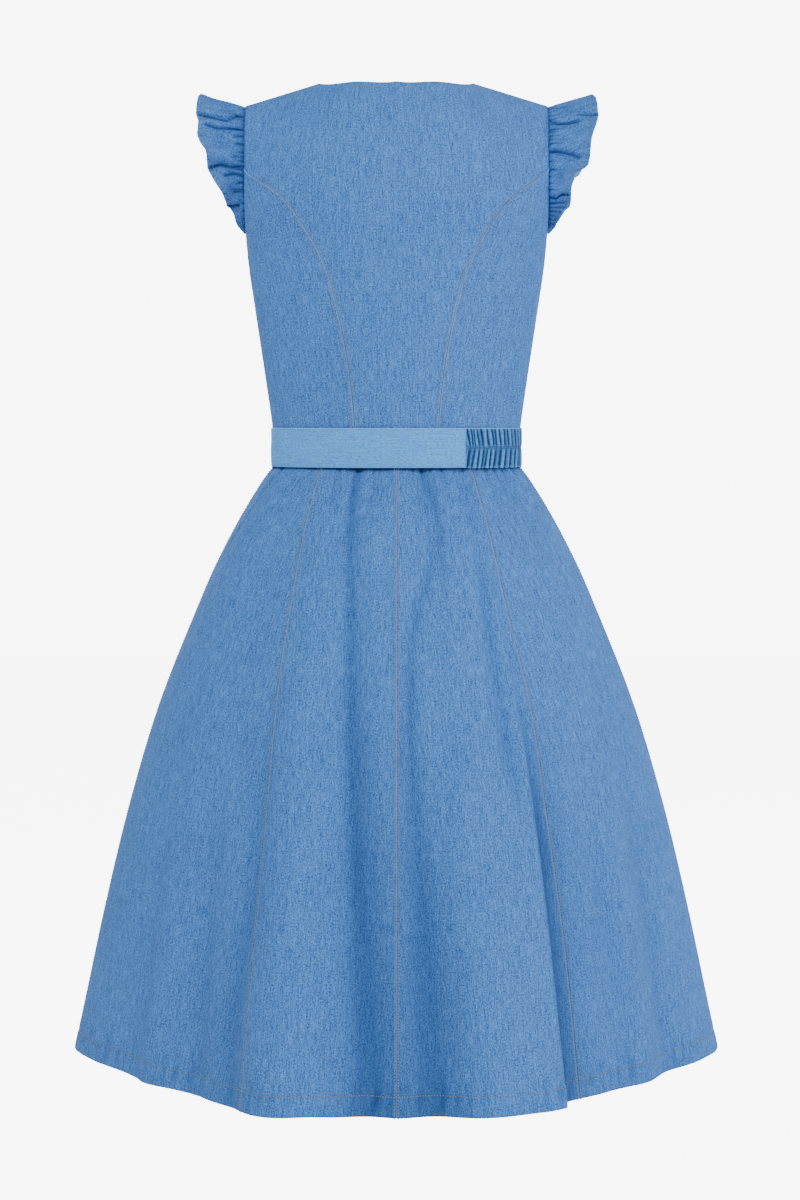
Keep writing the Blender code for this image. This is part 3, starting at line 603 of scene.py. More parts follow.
# Long soft creases, each followed down through a few bends: height, azimuth, depth, half width in degrees
Bend = namedtuple("Bend", "height azimuth depth spread")
SKIRT_CREASES = [named(Bend, bends) for bends in (
    ((-1.047, 4.9, 0.0125, 3.8), (-0.940, 6.0, 0.0125, 3.6), (-0.839, 7.4, 0.0115, 3.3),
     (-0.7035, 9.6, 0.0095, 2.8), (-0.620, 11.5, 0.0078, 2.3), (-0.544, 13.3, 0.0058, 2.0),
     (-0.470, 16.3, 0.0040, 1.8), (-0.408, 19.0, 0.0026, 1.8)),
    ((-0.560, -13.0, 0.0, 1.8), (-0.510, -13.8, 0.0034, 1.7), (-0.448, -14.2, 0.0048, 1.7),
     (-0.408, -11.0, 0.0036, 1.8)),
    ((-1.047, -6.2, 0.0120, 4.4), (-0.940, -5.5, 0.0120, 3.9), (-0.887, -5.1, 0.0112, 3.5),
     (-0.742, -3.3, 0.0092, 2.6), (-0.639, -2.9, 0.0076, 1.9), (-0.578, -4.1, 0.0068, 1.7),
     (-0.547, -6.3, 0.0060, 1.7), (-0.505, -10.5, 0.0040, 1.8), (-0.450, -12.5, 0.0, 1.8)),
    ((-0.800, -26.8, 0.0, 2.0), (-0.706, -25.3, 0.0070, 2.0), (-0.5855, -25.2, 0.0058, 1.7),
     (-0.504, -27.1, 0.0048, 1.6), (-0.410, -29.5, 0.0026, 1.6)),
    ((-1.047, 29.5, 0.0085, 4.2), (-0.943, 30.3, 0.0088, 3.8), (-0.844, 28.6, 0.0078, 3.4),
     (-0.746, 28.9, 0.0062, 3.0), (-0.660, 29.5, 0.0030, 2.6), (-0.600, 30.0, 0.0, 2.4)),
    ((-1.047, 38.5, 0.0060, 3.4), (-0.943, 40.0, 0.0056, 3.2), (-0.840, 41.0, 0.0040, 3.0),
     (-0.740, 42.0, 0.0, 3.0)),
    ((-1.047, -0.5, 0.0052, 9.0), (-0.850, 0.5, 0.0046, 8.5), (-0.700, 2.0, 0.0024, 7.0),
     (-0.620, 2.0, 0.0, 6.0)),
    ((-1.047, -50.5, 0.0036, 4.6), (-0.943, -49.5, 0.0042, 4.2), (-0.850, -48.0, 0.0036, 4.0),
     (-0.740, -47.0, 0.0, 4.0)),
    ((-1.047, -66.0, 0.0050, 4.6), (-0.880, -65.0, 0.0040, 4.4), (-0.700, -64.0, 0.0, 4.0)),
    ((-1.047, 58.0, 0.0036, 4.4), (-0.900, 59.0, 0.0030, 4.2), (-0.740, 60.0, 0.0, 4.0)),
    ((-0.520, 81.0, 0.0, 1.3), (-0.490, 78.7, 0.0018, 1.3), (-0.450, 73.5, 0.0030, 1.3),
     (-0.407, 68.0, 0.0032, 1.5)),
    ((-1.047, 173.0, 0.0120, 3.8), (-0.900, 172.0, 0.0110, 3.4), (-0.740, 170.5, 0.0080, 2.6),
     (-0.600, 168.5, 0.0050, 2.0), (-0.470, 167.0, 0.0, 1.8)),
    ((-1.047, 195.0, 0.0110, 4.0), (-0.860, 193.5, 0.0095, 3.4), (-0.680, 191.5, 0.0068, 2.4),
     (-0.540, 189.5, 0.0044, 1.9), (-0.408, 188.0, 0.0016, 1.8)),
    ((-1.047, 148.0, 0.0080, 4.0), (-0.880, 149.0, 0.0070, 3.4), (-0.700, 151.5, 0.0058, 2.4),
     (-0.570, 154.0, 0.0044, 1.9), (-0.450, 158.0, 0.0036, 1.8), (-0.408, 160.0, 0.0018, 1.8)),
    ((-1.047, 216.0, 0.0076, 4.2), (-0.860, 213.5, 0.0070, 3.4), (-0.690, 210.5, 0.0056, 2.4),
     (-0.560, 209.0, 0.0046, 1.9), (-0.440, 205.0, 0.0034, 1.8), (-0.408, 203.0, 0.0016, 1.8)),
    ((-1.047, 104.0, 0.0060, 4.0), (-0.880, 104.5, 0.0050, 3.6), (-0.720, 105.0, 0.0, 3.0)),
    ((-1.047, 255.0, 0.0058, 4.0), (-0.860, 254.0, 0.0048, 3.6), (-0.700, 253.0, 0.0, 3.0)),
    ((-1.047, 128.0, 0.0050, 4.4), (-0.900, 128.5, 0.0040, 4.0), (-0.780, 129.0, 0.0, 3.6)),
    ((-1.047, 236.0, 0.0052, 4.4), (-0.880, 235.0, 0.0042, 4.0), (-0.760, 234.0, 0.0, 3.6)),
)]
CREASE_POINTEDNESS = 1.45
# Depths that count as a full hollow and how dark the painted shade in a fold then gets; the lap's painted
# shade starts some way below the waist, grows over a length and reaches a few degrees round
CREASE_HOLLOW, TUCK_HOLLOW, FOLD_PAINTED_SHADE = 0.013, 0.0110, 0.52
LAP_PAINTED_SHADE, LAP_SHADE, LAP_SHADE_START, LAP_SHADE_GROWTH = 0.80, 5.0, 0.20, 0.22
BELT_TOP, BELT_BOTTOM = -0.3655, -0.4080
BELT_GROOVE, BELT_GROOVE_REACH, BELT_GROOVE_TOP, BELT_SHADE = 0.0028, 0.006, -0.388, 0.0032
HEM_SAG = 0.24
HEM_PUCKER_HEIGHT, HEM_PUCKER_PITCH, HEM_PUCKER_PLACE, HEM_PUCKER_REACH = 0.0008, 0.017, 0.015, 0.014
HEM_STEP, HEM_GROOVE, HEM_ROLL = 0.00035, 0.0004, 0.0008
# Reach of the calm cloth beside a seam at the hem; the dark line at a gore's seam is thinned by these two
HEM_CALM, SEAM_LINE_OFF, SEAM_LINE_THINNING = 0.006, 0.0009, 2.5
SKIRT_STITCH_INSET = 0.0024


def around(azimuth, middle):
    """Degrees from a middle azimuth, from -180 to 180."""
    return (azimuth - middle + 180) % 360 - 180


def hump(distance):
    """Soft hump: 1 at the middle, 0 from a distance of 1 on."""
    return 0.5 + 0.5 * np.cos(math.pi * np.minimum(np.abs(distance), 1.0))


def hanging_folds(azimuth, fall):
    """How far the broad folds and the lap push the cloth out; fall is 0 at the waist, 1 at the hem."""
    out = np.zeros_like(azimuth)
    for fold in SKIRT_FOLDS:
        grown = np.maximum((fall - fold.start) / (1 - fold.start), 0.0) ** fold.growth
        middle = fold.waist_azimuth + (fold.hem_azimuth - fold.waist_azimuth) * fall**FOLD_DRIFT
        out += fold.out * grown * hump(around(azimuth, middle) / fold.spread)
    grown = np.maximum(fall - SKIRT_LAP.start, 0.0) / (1 - SKIRT_LAP.start)
    away = -around(azimuth, SKIRT_LAP.azimuth)
    past = ease(0.5 + away / SKIRT_LAP.edge)
    crest = SKIRT_LAP.crest * hump(np.minimum(away, 0.0) / SKIRT_LAP.crest_spread)
    trough = SKIRT_LAP.drop * hump(np.maximum(away, 0.0) / SKIRT_LAP.trough_spread)
    return out + grown * ((1 - past) * crest - past * trough)


def front_tuck(number):
    """A tuck on the hidden front, uneven in place, depth and length."""
    azimuth = FRONT_TUCK.azimuth + FRONT_TUCK_PITCH * (number + 0.5) + 1.4 * math.sin(2.3 * number)
    number += len(WAIST_TUCKS)
    depth = FRONT_TUCK.depth * (0.75 + 0.35 * math.sin(1.9 * number))
    length = FRONT_TUCK.length * (1.1 - 0.4 * math.cos(2.7 * number))
    return Tuck(azimuth, depth, FRONT_TUCK.half_width, length)


def tucked(azimuth, height, width):
    """Depth of the tucks below the belt, which open out and fade downwards."""
    below = np.maximum(BELT_BOTTOM - height, 0.0)
    depth = np.zeros_like(azimuth)
    for tuck in (*WAIST_TUCKS, *map(front_tuck, range(FRONT_TUCKS))):
        half_width = tuck.half_width * (1 + 1.6 * below / tuck.length)
        beside = np.abs(np.radians(around(azimuth, tuck.azimuth)) * width * 0.8 / half_width)
        depth -= 1.7 * tuck.depth * np.exp(-(beside**1.6) - (below / tuck.length) ** 2)
    return depth


def creased(azimuth, height):
    """Depth of the long soft creases."""
    depth = np.zeros_like(azimuth)
    for crease in SKIRT_CREASES:
        levels, _, depths, _ = zip(*crease)
        size = np.interp(height, levels, depths)
        middle = smooth(crease, "azimuth", height)
        spread = smooth(crease, "spread", height)
        depth -= size * np.exp(-(np.abs(around(azimuth, middle) / spread) ** CREASE_POINTEDNESS))
    return depth


def at_lap(azimuth, height):
    """Shade of the lap on the cloth just beside it, from 0 to 1."""
    away = -around(azimuth, SKIRT_LAP.azimuth) - 0.4
    grown = ease((WAIST - height - LAP_SHADE_START) / LAP_SHADE_GROWTH)
    return grown * np.where(away > 0, np.exp(-away / LAP_SHADE), np.exp(-((away / 0.9) ** 2)))


def skirt_points(azimuth, height):
    """Points of the skirt's outer face at azimuths and heights, and the painted shade of its folds, of the
    lap and under the belt.
    """
    angle = np.radians(azimuth)
    width, back, front = (smooth(SKIRT_RINGS, column, height) for column in Ring._fields[1:])
    depth = np.where(np.cos(angle) > 0, back, front)
    away = np.stack([np.sin(angle) / width, np.cos(angle) / depth], axis=-1)
    away /= np.linalg.norm(away, axis=-1, keepdims=True)
    fall = (WAIST - height) / (WAIST - HEM)
    creases, tucks = creased(azimuth, height), tucked(azimuth, height, width)
    out = hanging_folds(azimuth, fall) + tucks + creases
    under_belt = ease((height + 0.0015 - BELT_BOTTOM) / BELT_GROOVE_REACH + 1)
    under_belt = under_belt * ease((BELT_GROOVE_TOP - height) / 0.010)
    out = out - BELT_GROOVE * under_belt * (0.25 + 0.75 * np.cos(angle) ** 2)
    place = np.stack([width * np.sin(angle), depth * np.cos(angle)], axis=-1) + away * out[..., None]
    level = height + HEM_SAG * creases * fall**6
    # Painted shade in the creases, the tucks and beside the lap, and a painted shadow just below the belt
    hollow = np.minimum(-creases / CREASE_HOLLOW - tucks / TUCK_HOLLOW, 1.0) * FOLD_PAINTED_SHADE
    hollow = hollow + LAP_PAINTED_SHADE * at_lap(azimuth, height)
    hollow = np.maximum(hollow, ease((height + 0.0006 - BELT_BOTTOM) / BELT_SHADE + 1))
    return np.concatenate([place, level[..., None]], axis=-1), hollow


def seam_azimuth(gore, height):
    """Azimuth of a gore's first seam at each height."""
    distance = smooth(GORE_SEAMS, gore.seam, height) / smooth(SKIRT_RINGS, "half_width", height)
    return gore.azimuth + gore.turn * np.degrees(np.arcsin(distance))


# Gores round the skirt, from the centre back to the wearer's left. A gore's first seam lies at an azimuth, or
# a distance from it, to the left or the right, and the next gore's first seam ends it.
Gore = namedtuple("Gore", "name azimuth turn seam columns cut")
SKIRT_GORES = (
    Gore("skirt_back_left", 0, 0, "front", 50, Cut(0.22, 0.75, 0.111)),
    Gore("skirt_side_back_left", 0, 1, "left", 84, Cut(0.37, 0.75, 0.187)),
    Gore("skirt_side_front_left", 90, 0, "front", 76, Cut(0.35, 0.75, 0.183)),
    Gore("skirt_front", 180, -1, "front", 104, Cut(0.46, 0.75, 0.225)),
    Gore("skirt_side_front_right", 180, 1, "front", 76, Cut(0.35, 0.75, 0.183)),
    Gore("skirt_side_back_right", 270, 0, "front", 80, Cut(0.34, 0.75, 0.172)),
    Gore("skirt_back_right", 360, -1, "right", 56, Cut(0.25, 0.75, 0.126)),
)
# Rows of points lie close at the hem and below the belt
HEM_ROWS = (0, 0.0007, 0.0018, 0.0040, 0.0080, 0.0120, 0.0160, 0.0182, 0.0195, 0.0208, 0.0235, 0.028)
BELT_ROWS = (-0.4665, -0.4185, -0.4065)
up_to_belt = (
    HEM + np.array(HEM_ROWS),
    np.linspace(HEM + 0.034, -0.470, 94),
    np.linspace(BELT_ROWS[0], BELT_ROWS[1], 19)[:-1],
    np.linspace(BELT_ROWS[1], BELT_ROWS[2], 14)[:-1],
)
heights = np.concatenate([*up_to_belt, np.linspace(BELT_ROWS[2], SKIRT_TOP, 6)])
from_edge = heights[:, None] - HEM
hem_row = int(np.argmin(np.abs(heights - (HEM + HEM_TURN))))
turn_up = HEM_STEP * ease((HEM_TURN + 0.001 - from_edge) / 0.002)
turn_up = turn_up - HEM_GROOVE * np.exp(-(((from_edge - HEM_TURN) / 0.0012) ** 2))
turn_up = turn_up - HEM_ROLL * np.exp(-((from_edge / 0.0009) ** 2))
seams = [seam_azimuth(gore, heights) for gore in SKIRT_GORES]
seams.append(seams[0] + 360)
skirt_stitches, hem_stitches = [], []
for number, gore in enumerate(SKIRT_GORES):
    first, last = seams[number], seams[number + 1]
    azimuth = first[:, None] + (last - first)[:, None] * from_border(gore.columns)
    points, hollow = skirt_points(azimuth, heights[:, None] + 0 * azimuth)
    beside = from_sides(points)
    relief = seam_relief(beside, travelled(points, 0), seed=0.7 * number)
    puckers = wavering(travelled(points, 1) + 0.25 * from_edge, HEM_PUCKER_PITCH, 0.9 * number)
    puckers = puckers * np.exp(-(((from_edge - HEM_PUCKER_PLACE) / HEM_PUCKER_REACH) ** 2))
    puckers = puckers * ease(beside / HEM_CALM)
    relief = relief + turn_up + HEM_PUCKER_HEIGHT * puckers
    points = points + outward(points) * relief[..., None]
    # Painted shade in the valleys of the hem's puckers and along its rolled edge
    hollow = hollow - 0.35 * np.minimum(puckers, 0.0) + 0.3 * np.exp(-((from_edge / 0.001) ** 2))
    seam = SEAM_LINE_OFF + SEAM_LINE_THINNING * beside
    cloth(gore.name, points, seam, hollow, gore.cut, held="gathered", rests_on=["bodice_back"])
    visible = points[heights < BELT_BOTTOM + 0.004]
    for right in (False, True):
        skirt_stitches.append(beside_border(visible, SKIRT_STITCH_INSET, right))
    hem_stitches.append(points[hem_row] + outward(points)[hem_row] * THREAD_LIFT)

# ---------------------------------------------------------------- ruffle caps
# A strip of the same denim, gathered into each armhole from underarm to underarm and standing off the
# shoulder. Its free edge is turned 7 mm and topstitched.

RuffleRow = namedtuple("RuffleRow", "place rise lean")
RUFFLE_ROWS = named(RuffleRow, (
    (0.02, -4, 8),
    (0.08, -4, 12),
    (0.15, -2, 18),
    (0.22, 0, 20),
    (0.30, 4, 18),
    (0.40, 8, 11),
    (0.50, 13, 0),
    (0.60, 8, -11),
    (0.70, 4, -18),
    (0.78, 0, -20),
    (0.85, -2, -18),
    (0.92, -4, -12),
    (0.98, -4, -8),
))
# Width of each ruffle from its place at the underarm to the shoulder, with the steps where a fold ends
LEFT_WIDTHS = (
    (0.02, 0.0022), (0.04, 0.0046), (0.06, 0.0080), (0.085, 0.0104), (0.112, 0.0122), (0.130, 0.0150),
    (0.137, 0.0188), (0.150, 0.0206), (0.174, 0.0250), (0.198, 0.0300), (0.246, 0.0385), (0.280, 0.0430),
    (0.315, 0.0468), (0.329, 0.0490), (0.340, 0.0510), (0.400, 0.0518), (0.430, 0.0530), (0.470, 0.0528),
    (0.487, 0.0525), (0.500, 0.0503),
)
RIGHT_WIDTHS = (
    (0.02, 0.0024), (0.04, 0.0055), (0.055, 0.0080), (0.080, 0.0102), (0.105, 0.0146), (0.124, 0.0185),
    (0.133, 0.0228), (0.150, 0.0245), (0.178, 0.0262), (0.207, 0.0266), (0.228, 0.0282), (0.238, 0.0300),
    (0.246, 0.0385), (0.255, 0.0430), (0.285, 0.0462), (0.350, 0.0505), (0.400, 0.0538), (0.440, 0.0542),
    (0.475, 0.0535), (0.500, 0.0503),
)
LEFT_WAVE_TROUGHS = (0.02, 0.135, 0.250, 0.332, 0.415, 0.585, 0.68, 0.77, 0.88, 0.98)
RIGHT_WAVE_TROUGHS = (0.02, 0.130, 0.243, 0.410, 0.585, 0.66, 0.72, 0.80, 0.88, 0.98)
WAVE_HEIGHT, WAVE_LEAN, WAVE_GROWTH, FULL_WAVE_WIDTH = 0.0055, 0.0018, 1.2, 0.030
# The gathered edge is tucked into the armhole seam and lies flat for a few millimetres
TUCKED_IN, SEAM_GAP, SEAM_DEPTH, FREE_FROM = 0.003, 0.0003, 0.0004, 0.004
RUFFLE_TURN, TURN_STEP, TURN_LINE, TURN_PUCKER = 0.0068, 0.0003, 0.0009, 0.0005
GATHERS, GATHER_DEPTH, GATHER_SHADE = 44, 0.0032, 2.7
RuffleFold = namedtuple("RuffleFold", "depth path")
RuffleHollow = namedtuple("RuffleHollow", "place reach breadth reach_breadth")
# Folds run from the armhole at reach 0 to the free edge at reach 1, through places on the back half
LEFT_FOLDS = named(RuffleFold, (
    (0.0044, ((0.0, 0.422), (0.13, 0.426), (0.38, 0.398), (0.68, 0.408), (0.95, 0.414))),
    (0.0032, ((0.0, 0.368), (0.30, 0.366), (0.57, 0.360), (0.84, 0.366))),
    (0.0020, ((0.0, 0.346), (0.22, 0.340))),
    (0.0016, ((0.0, 0.318), (0.18, 0.316))),
    (0.0020, ((0.0, 0.281), (0.28, 0.278))),
    (0.0040, ((0.0, 0.253), (0.30, 0.250), (0.63, 0.256), (0.95, 0.248))),
    (0.0030, ((0.0, 0.226), (0.27, 0.232), (0.62, 0.228))),
    (0.0016, ((0.0, 0.208), (0.20, 0.206))),
    (0.0024, ((0.0, 0.176), (0.42, 0.178))),
    (0.0040, ((0.30, 0.136), (1.0, 0.134))),
))
RIGHT_FOLDS = named(RuffleFold, (
    (0.0036, ((0.0, 0.408), (0.14, 0.391), (0.35, 0.388), (0.63, 0.394))),
    (0.0028, ((0.62, 0.418), (0.75, 0.413), (1.0, 0.411))),
    (0.0024, ((0.0, 0.362), (0.14, 0.360))),
    (0.0018, ((0.0, 0.335), (0.12, 0.334))),
    (0.0034, ((0.0, 0.297), (0.14, 0.296), (0.35, 0.289), (0.75, 0.272))),
    (0.0018, ((0.0, 0.240), (0.15, 0.238))),
    (0.0038, ((0.0, 0.160), (0.32, 0.157), (0.54, 0.170), (0.9, 0.172))),
    (0.0024, ((0.0, 0.141), (0.80, 0.146))),
    (0.0024, ((0.0, 0.128), (0.80, 0.130))),
    (0.0024, ((0.0, 0.115), (0.80, 0.117))),
    (0.0020, ((0.0, 0.102), (0.80, 0.103))),
    (0.0020, ((0.0, 0.088), (0.80, 0.089))),
    (0.0018, ((0.0, 0.072), (0.80, 0.072))),
))
LEFT_HOLLOWS = named(RuffleHollow, (
    (0.488, 0.62, 0.009, 0.14),
    (0.475, 0.30, 0.009, 0.12),
    (0.442, 0.34, 0.012, 0.14),
    (0.312, 0.50, 0.016, 0.18),
    (0.190, 0.40, 0.018, 0.25),
))
RIGHT_HOLLOWS = named(RuffleHollow, (
    (0.470, 0.30, 0.014, 0.20),
    (0.480, 0.06, 0.014, 0.06),
    (0.440, 0.45, 0.012, 0.20),
    (0.225, 0.36, 0.022, 0.26),
))
# Painted shade: a fold's dark line and the band below it, soft hollows, and a shadow along the armhole seam
FOLD_LINE, FOLD_BREADTH, FOLD_BULGE, FOLD_SHADE = 0.0012, 0.0021, 0.0046, 0.0042
HOLLOW_DEPTH, HOLLOW_PAINTED_SHADE, BASE_SHADE, BASE_PAINTED_SHADE = 0.0026, 0.34, 0.0015, 0.7
ARMHOLE_LENGTH, PUCKER_LENGTH = 0.31, 0.33
PROBE, RUFFLE_COLUMNS, BARE_ENDS = 0.004, 560, 16
# Rows of points across the ruffle to its turned hem, and across the hem, as shares
TO_TURN = (0, 0.03, 0.07, 0.12, 0.18, 0.25, 0.33, 0.42, 0.51, 0.60, 0.69, 0.78, 0.86, 0.93)
OVER_TURN = (0, 0.12, 0.35, 0.62, 0.86, 0.96, 1)
Ruffle = namedtuple("Ruffle", "name side widths troughs folds hollows")
RUFFLES = (
    Ruffle("ruffle_left", 1.0, LEFT_WIDTHS, LEFT_WAVE_TROUGHS, LEFT_FOLDS, LEFT_HOLLOWS),
    Ruffle("ruffle_right", -1.0, RIGHT_WIDTHS, RIGHT_WAVE_TROUGHS, RIGHT_FOLDS, RIGHT_HOLLOWS),
)


def armhole(place, side, share=1.0):
    """Armhole edge at places from 0, back underarm, to 1, front underarm, or the cloth just inside it."""
    row = 1.0 + 2 * np.minimum(place, 1 - place)
    back, front = cut_out(BACK, side * share, row), cut_out(FRONT, side * share, row)
    return np.where((place <= 0.5)[:, None], back, front)


def unit(vectors):
    """The vectors at length 1."""
    return vectors / np.linalg.norm(vectors, axis=-1, keepdims=True)


def off(vectors, run):
    """The vectors without their part along a run."""
    return unit(vectors - run * np.sum(vectors * run, axis=-1, keepdims=True))


def front_too(rows):
    """The rows of a table for the back half, and the same a little shifted on the hidden front half."""
    turned = []
    for row in rows:
        if isinstance(row, RuffleFold):
            turned.append(row._replace(path=tuple((reach, 1.007 - place) for reach, place in row.path)))
        else:
            turned.append(row._replace(place=1.007 - row.place))
    return (*rows, *turned)


def ruffle_folds(place, reach, folds, hollows):
    """Height and shade of the folds that run across a ruffle and of the soft hollows between them."""
    height = np.zeros(np.broadcast(place, reach).shape)
    shade = np.zeros_like(height)
    upwards = np.where(place < 0.5, ARMHOLE_LENGTH, -ARMHOLE_LENGTH)
    for fold in front_too(folds):
        reaches, places = zip(*fold.path)
        beside = (place - np.interp(reach, reaches, places)) * upwards
        strength = ease((reaches[-1] - reach) / 0.14 + 0.5) * ease((reach - reaches[0]) / 0.10 + 1.0)
        sharp = np.exp(-(np.abs(beside / FOLD_BREADTH) ** 1.3))
        bulge = 0.40 * np.exp(-(((beside - FOLD_BULGE) / 0.0035) ** 2))
        height += fold.depth * strength * (bulge - sharp)
        line = 0.85 * np.exp(-((beside / FOLD_LINE) ** 2))
        below = 0.22 * np.exp(-(((beside + 0.5 * FOLD_SHADE) / FOLD_SHADE) ** 2))
        shade += (line + below) * strength * fold.depth / 0.0036
    for hollow in front_too(hollows):
        beside = ((place - hollow.place) / hollow.breadth) ** 2
        near = np.exp(-beside - ((reach - hollow.reach) / hollow.reach_breadth) ** 2)
        height -= HOLLOW_DEPTH * near
        shade += HOLLOW_PAINTED_SHADE * near
    return height, shade


ruffle_stitches = []
RUFFLE_CUT = Cut(0.40, 0.062, 0.0172)
to_turn, over_turn = np.array(TO_TURN)[:, None], np.array(OVER_TURN)[:, None]
for ruffle in RUFFLES:
    side = ruffle.side
    place = np.linspace(RUFFLE_ROWS[0].place, RUFFLE_ROWS[-1].place, RUFFLE_COLUMNS)
    edge = armhole(place, side)
    run = unit(armhole(np.minimum(place + PROBE, 1), side) - armhole(np.maximum(place - PROBE, 0), side))
    away = off(edge - armhole(place, side, 0.99), run)
    rise, lean = (np.radians(smooth(RUFFLE_ROWS, column, place)) for column in ("rise", "lean"))
    out = off(np.stack([side * np.cos(rise) * np.cos(lean), np.sin(lean), np.sin(rise)], axis=-1), run)
    normal = unit(np.cross(run, out)) * side
    width = np.interp(np.minimum(place, 1.0 - place), *zip(*ruffle.widths))
    width = width * (1 - 0.05 * ease((place - 0.5) / 0.15))
    size = np.minimum(width / FULL_WAVE_WIDTH, 1.0)
    turn = np.clip(1 - RUFFLE_TURN / width, 0.45, 1.0)
    reach = np.concatenate([-TUCKED_IN / width[None], to_turn * turn, turn + (1 - turn) * over_turn])
    run_out, reach = reach * width, np.maximum(reach, 0.0)
    phase = 2 * math.pi * np.interp(place, ruffle.troughs, range(len(ruffle.troughs)))
    calm = size * (1 - 0.65 * hump((place - 0.5) / 0.22))
    wave = -WAVE_HEIGHT * calm * reach**WAVE_GROWTH * np.cos(phase)
    sway = WAVE_LEAN * calm * reach * np.sin(phase)
    uneven = 0.7 + 0.3 * np.sin(17.0 * place * GATHERS / 7)
    gather = np.abs(np.sin(math.pi * GATHERS * place + 0.8 * np.sin(31 * place))) ** 0.6 - 0.7
    fading = np.exp(-((reach / (0.13 + 0.10 * uneven)) ** 1.6))
    folds, shade = ruffle_folds(place, reach, ruffle.folds, ruffle.hollows)
    drape = GATHER_DEPTH * size * uneven * gather * fading + folds * np.minimum(size + 0.3, 1.0)
    from_hem = width - run_out
    step = TURN_STEP * ease((RUFFLE_TURN + 0.0006 - from_hem) / 0.0012)
    step -= TURN_STEP * np.exp(-(((from_hem - RUFFLE_TURN) / TURN_LINE) ** 2))
    puckers = wavering(place * PUCKER_LENGTH, 0.0075, side) * np.exp(-(((from_hem - 0.004) / 0.004) ** 2))
    free = ease(run_out / FREE_FROM)
    lift = wave + (drape + SHELL / 2) * free - SEAM_DEPTH * (1 - free) + step + TURN_PUCKER * puckers
    points = (edge + away * SEAM_GAP)[None] + out[None] * run_out[..., None]
    points = points + normal[None] * lift[..., None] + run[None] * sway[..., None]
    # Painted shadow along the armhole seam and painted shade in the gathers and the hem's puckers
    base_line = BASE_PAINTED_SHADE * np.exp(-((run_out / BASE_SHADE) ** 2))
    hollow = shade + GATHER_SHADE * fading * np.maximum(-gather - 0.02, 0.0) * uneven
    hollow = hollow + base_line * (0.7 + 0.3 * wavering(place * PUCKER_LENGTH, 0.008))
    hollow = np.clip(hollow - 0.3 * np.minimum(puckers, 0.0), 0, 1)
    seam = np.minimum(np.maximum(run_out, 0) + 0.0028, from_hem + 0.0019)
    if side > 0:
        points, hollow, seam = points[:, ::-1], hollow[:, ::-1], seam[:, ::-1]
    cloth(ruffle.name, points, seam, hollow, RUFFLE_CUT, held="gathered", rests_on=["bodice_back"])
    turned_row = len(TO_TURN) + 1
    turned = points[turned_row] + outward(points)[turned_row] * THREAD_LIFT
    ruffle_stitches.append(turned[BARE_ENDS:-BARE_ENDS])

# ---------------------------------------------------------------- belt
# A flat band of paler, smoother denim cut along its grain, a shirred elastic piece at the wearer's right
# with two rows of gathers and a stitched channel between them, and a front end that laps over the band.

BELT_WALL, BELT_SHELL = 0.0012, 0.0010
BELT_INNER = Ring(-0.386, 0.1370, 0.0895, 0.0942)
BAND_START, BAND_END = -33.0, 195.0
ELASTIC_START = -115.0
LAP_END, LAP_FULL, LAP_CLEAR = 172.0, 197.0, 210.0
RIB_HEIGHT = 0.0025
# Azimuths of the valleys between the gathers, in the row above and below the stitched channel
UPPER_VALLEYS = (
    -30.6, -34.4, -36.4, -37.7, -39.7, -42.2, -46.0, -49.3, -51.5, -54.6, -58.6, -62.0, -65.7,
    -70.4, -75.4, -77.9, -82.0, -85.4, -88.1, -92.0, -95.6, -98.3, -102.2, -105.3, -108.8, -112.5,
    -116.0,
)
LOWER_VALLEYS = (
    -30.2, -34.2, -37.0, -40.1, -42.3, -44.9, -47.4, -50.5, -54.9, -59.2, -64.4, -70.0, -74.6,
    -78.6, -81.5, -85.9, -90.0, -93.1, -97.4, -100.6, -104.7, -108.0, -111.6, -116.0,
)
UPPER_LEAN, LOWER_LEAN, RIB_SHARPNESS = -1.6, 1.8, 0.6
RIB_HOLLOW, RIM_OFFSET, RIB_FLOOR = 1.0, 0.0016, -0.0006
BELT_EDGE_INSET = 0.0022
BELT_YARN = Yarn(0.0010, 0.022, 0.0010, 0.0032)
BELT_DYE_AND_SHADE = DyeAndShade(
    deep=(0.070, 0.270, 0.820),
    pale=(0.150, 0.540, 1.000),
    speck=(0.030, 0.150, 0.500),
    fleck=(0.220, 0.660, 1.000),
    fold=(0.002, 0.014, 0.080),
    seam_line=(0.030, 0.100, 0.280),
    rubbed=(0.330, 0.640, 1.000),
)
belt_cloth = woven("belt_cloth", BELT_DYE_AND_SHADE, BELT_YARN, roughness=0.5, sheen=0.02, gloss=0.10)
BELT_STUFF = ("belt_cloth", BELT_SHELL, (belt_cloth,))


def belt_points(azimuth, height, out):
    """Points of the belt some way out of its inner face."""
    angle = np.radians(azimuth)
    depth = np.where(np.cos(angle) > 0, BELT_INNER.back_depth, BELT_INNER.front_depth)
    away = unit(np.stack([np.sin(angle) / BELT_INNER.half_width, np.cos(angle) / depth], axis=-1))
    place = np.stack([BELT_INNER.half_width * np.sin(angle), depth * np.cos(angle)], axis=-1)
    return np.concatenate([place + away * out[..., None], height[..., None]], axis=-1)


def belt_piece(name, cut, azimuth, height, out, hollow):
    """Belt cloth with its weave turned to run along the belt and its long edges rubbed pale, partly a painted
    highlight.
    """
    azimuth, height, out, hollow = np.broadcast_arrays(azimuth, height, out, hollow)
    points = belt_points(azimuth, height, out)
    from_edges = np.minimum(height - height.min(), height.max() - height)
    resting = {"held": "hung", "rests_on": ["bodice_back"]}
    piece = cloth(name, points, from_edges + RIM_OFFSET, hollow, cut, BELT_STUFF, **resting)
    weave = piece.data.uv_layers["weave"].data
    flat = np.empty(len(weave) * 2)
    weave.foreach_get("uv", flat)
    weave.foreach_set("uv", flat.reshape(-1, 2)[:, ::-1].reshape(-1))
    return points


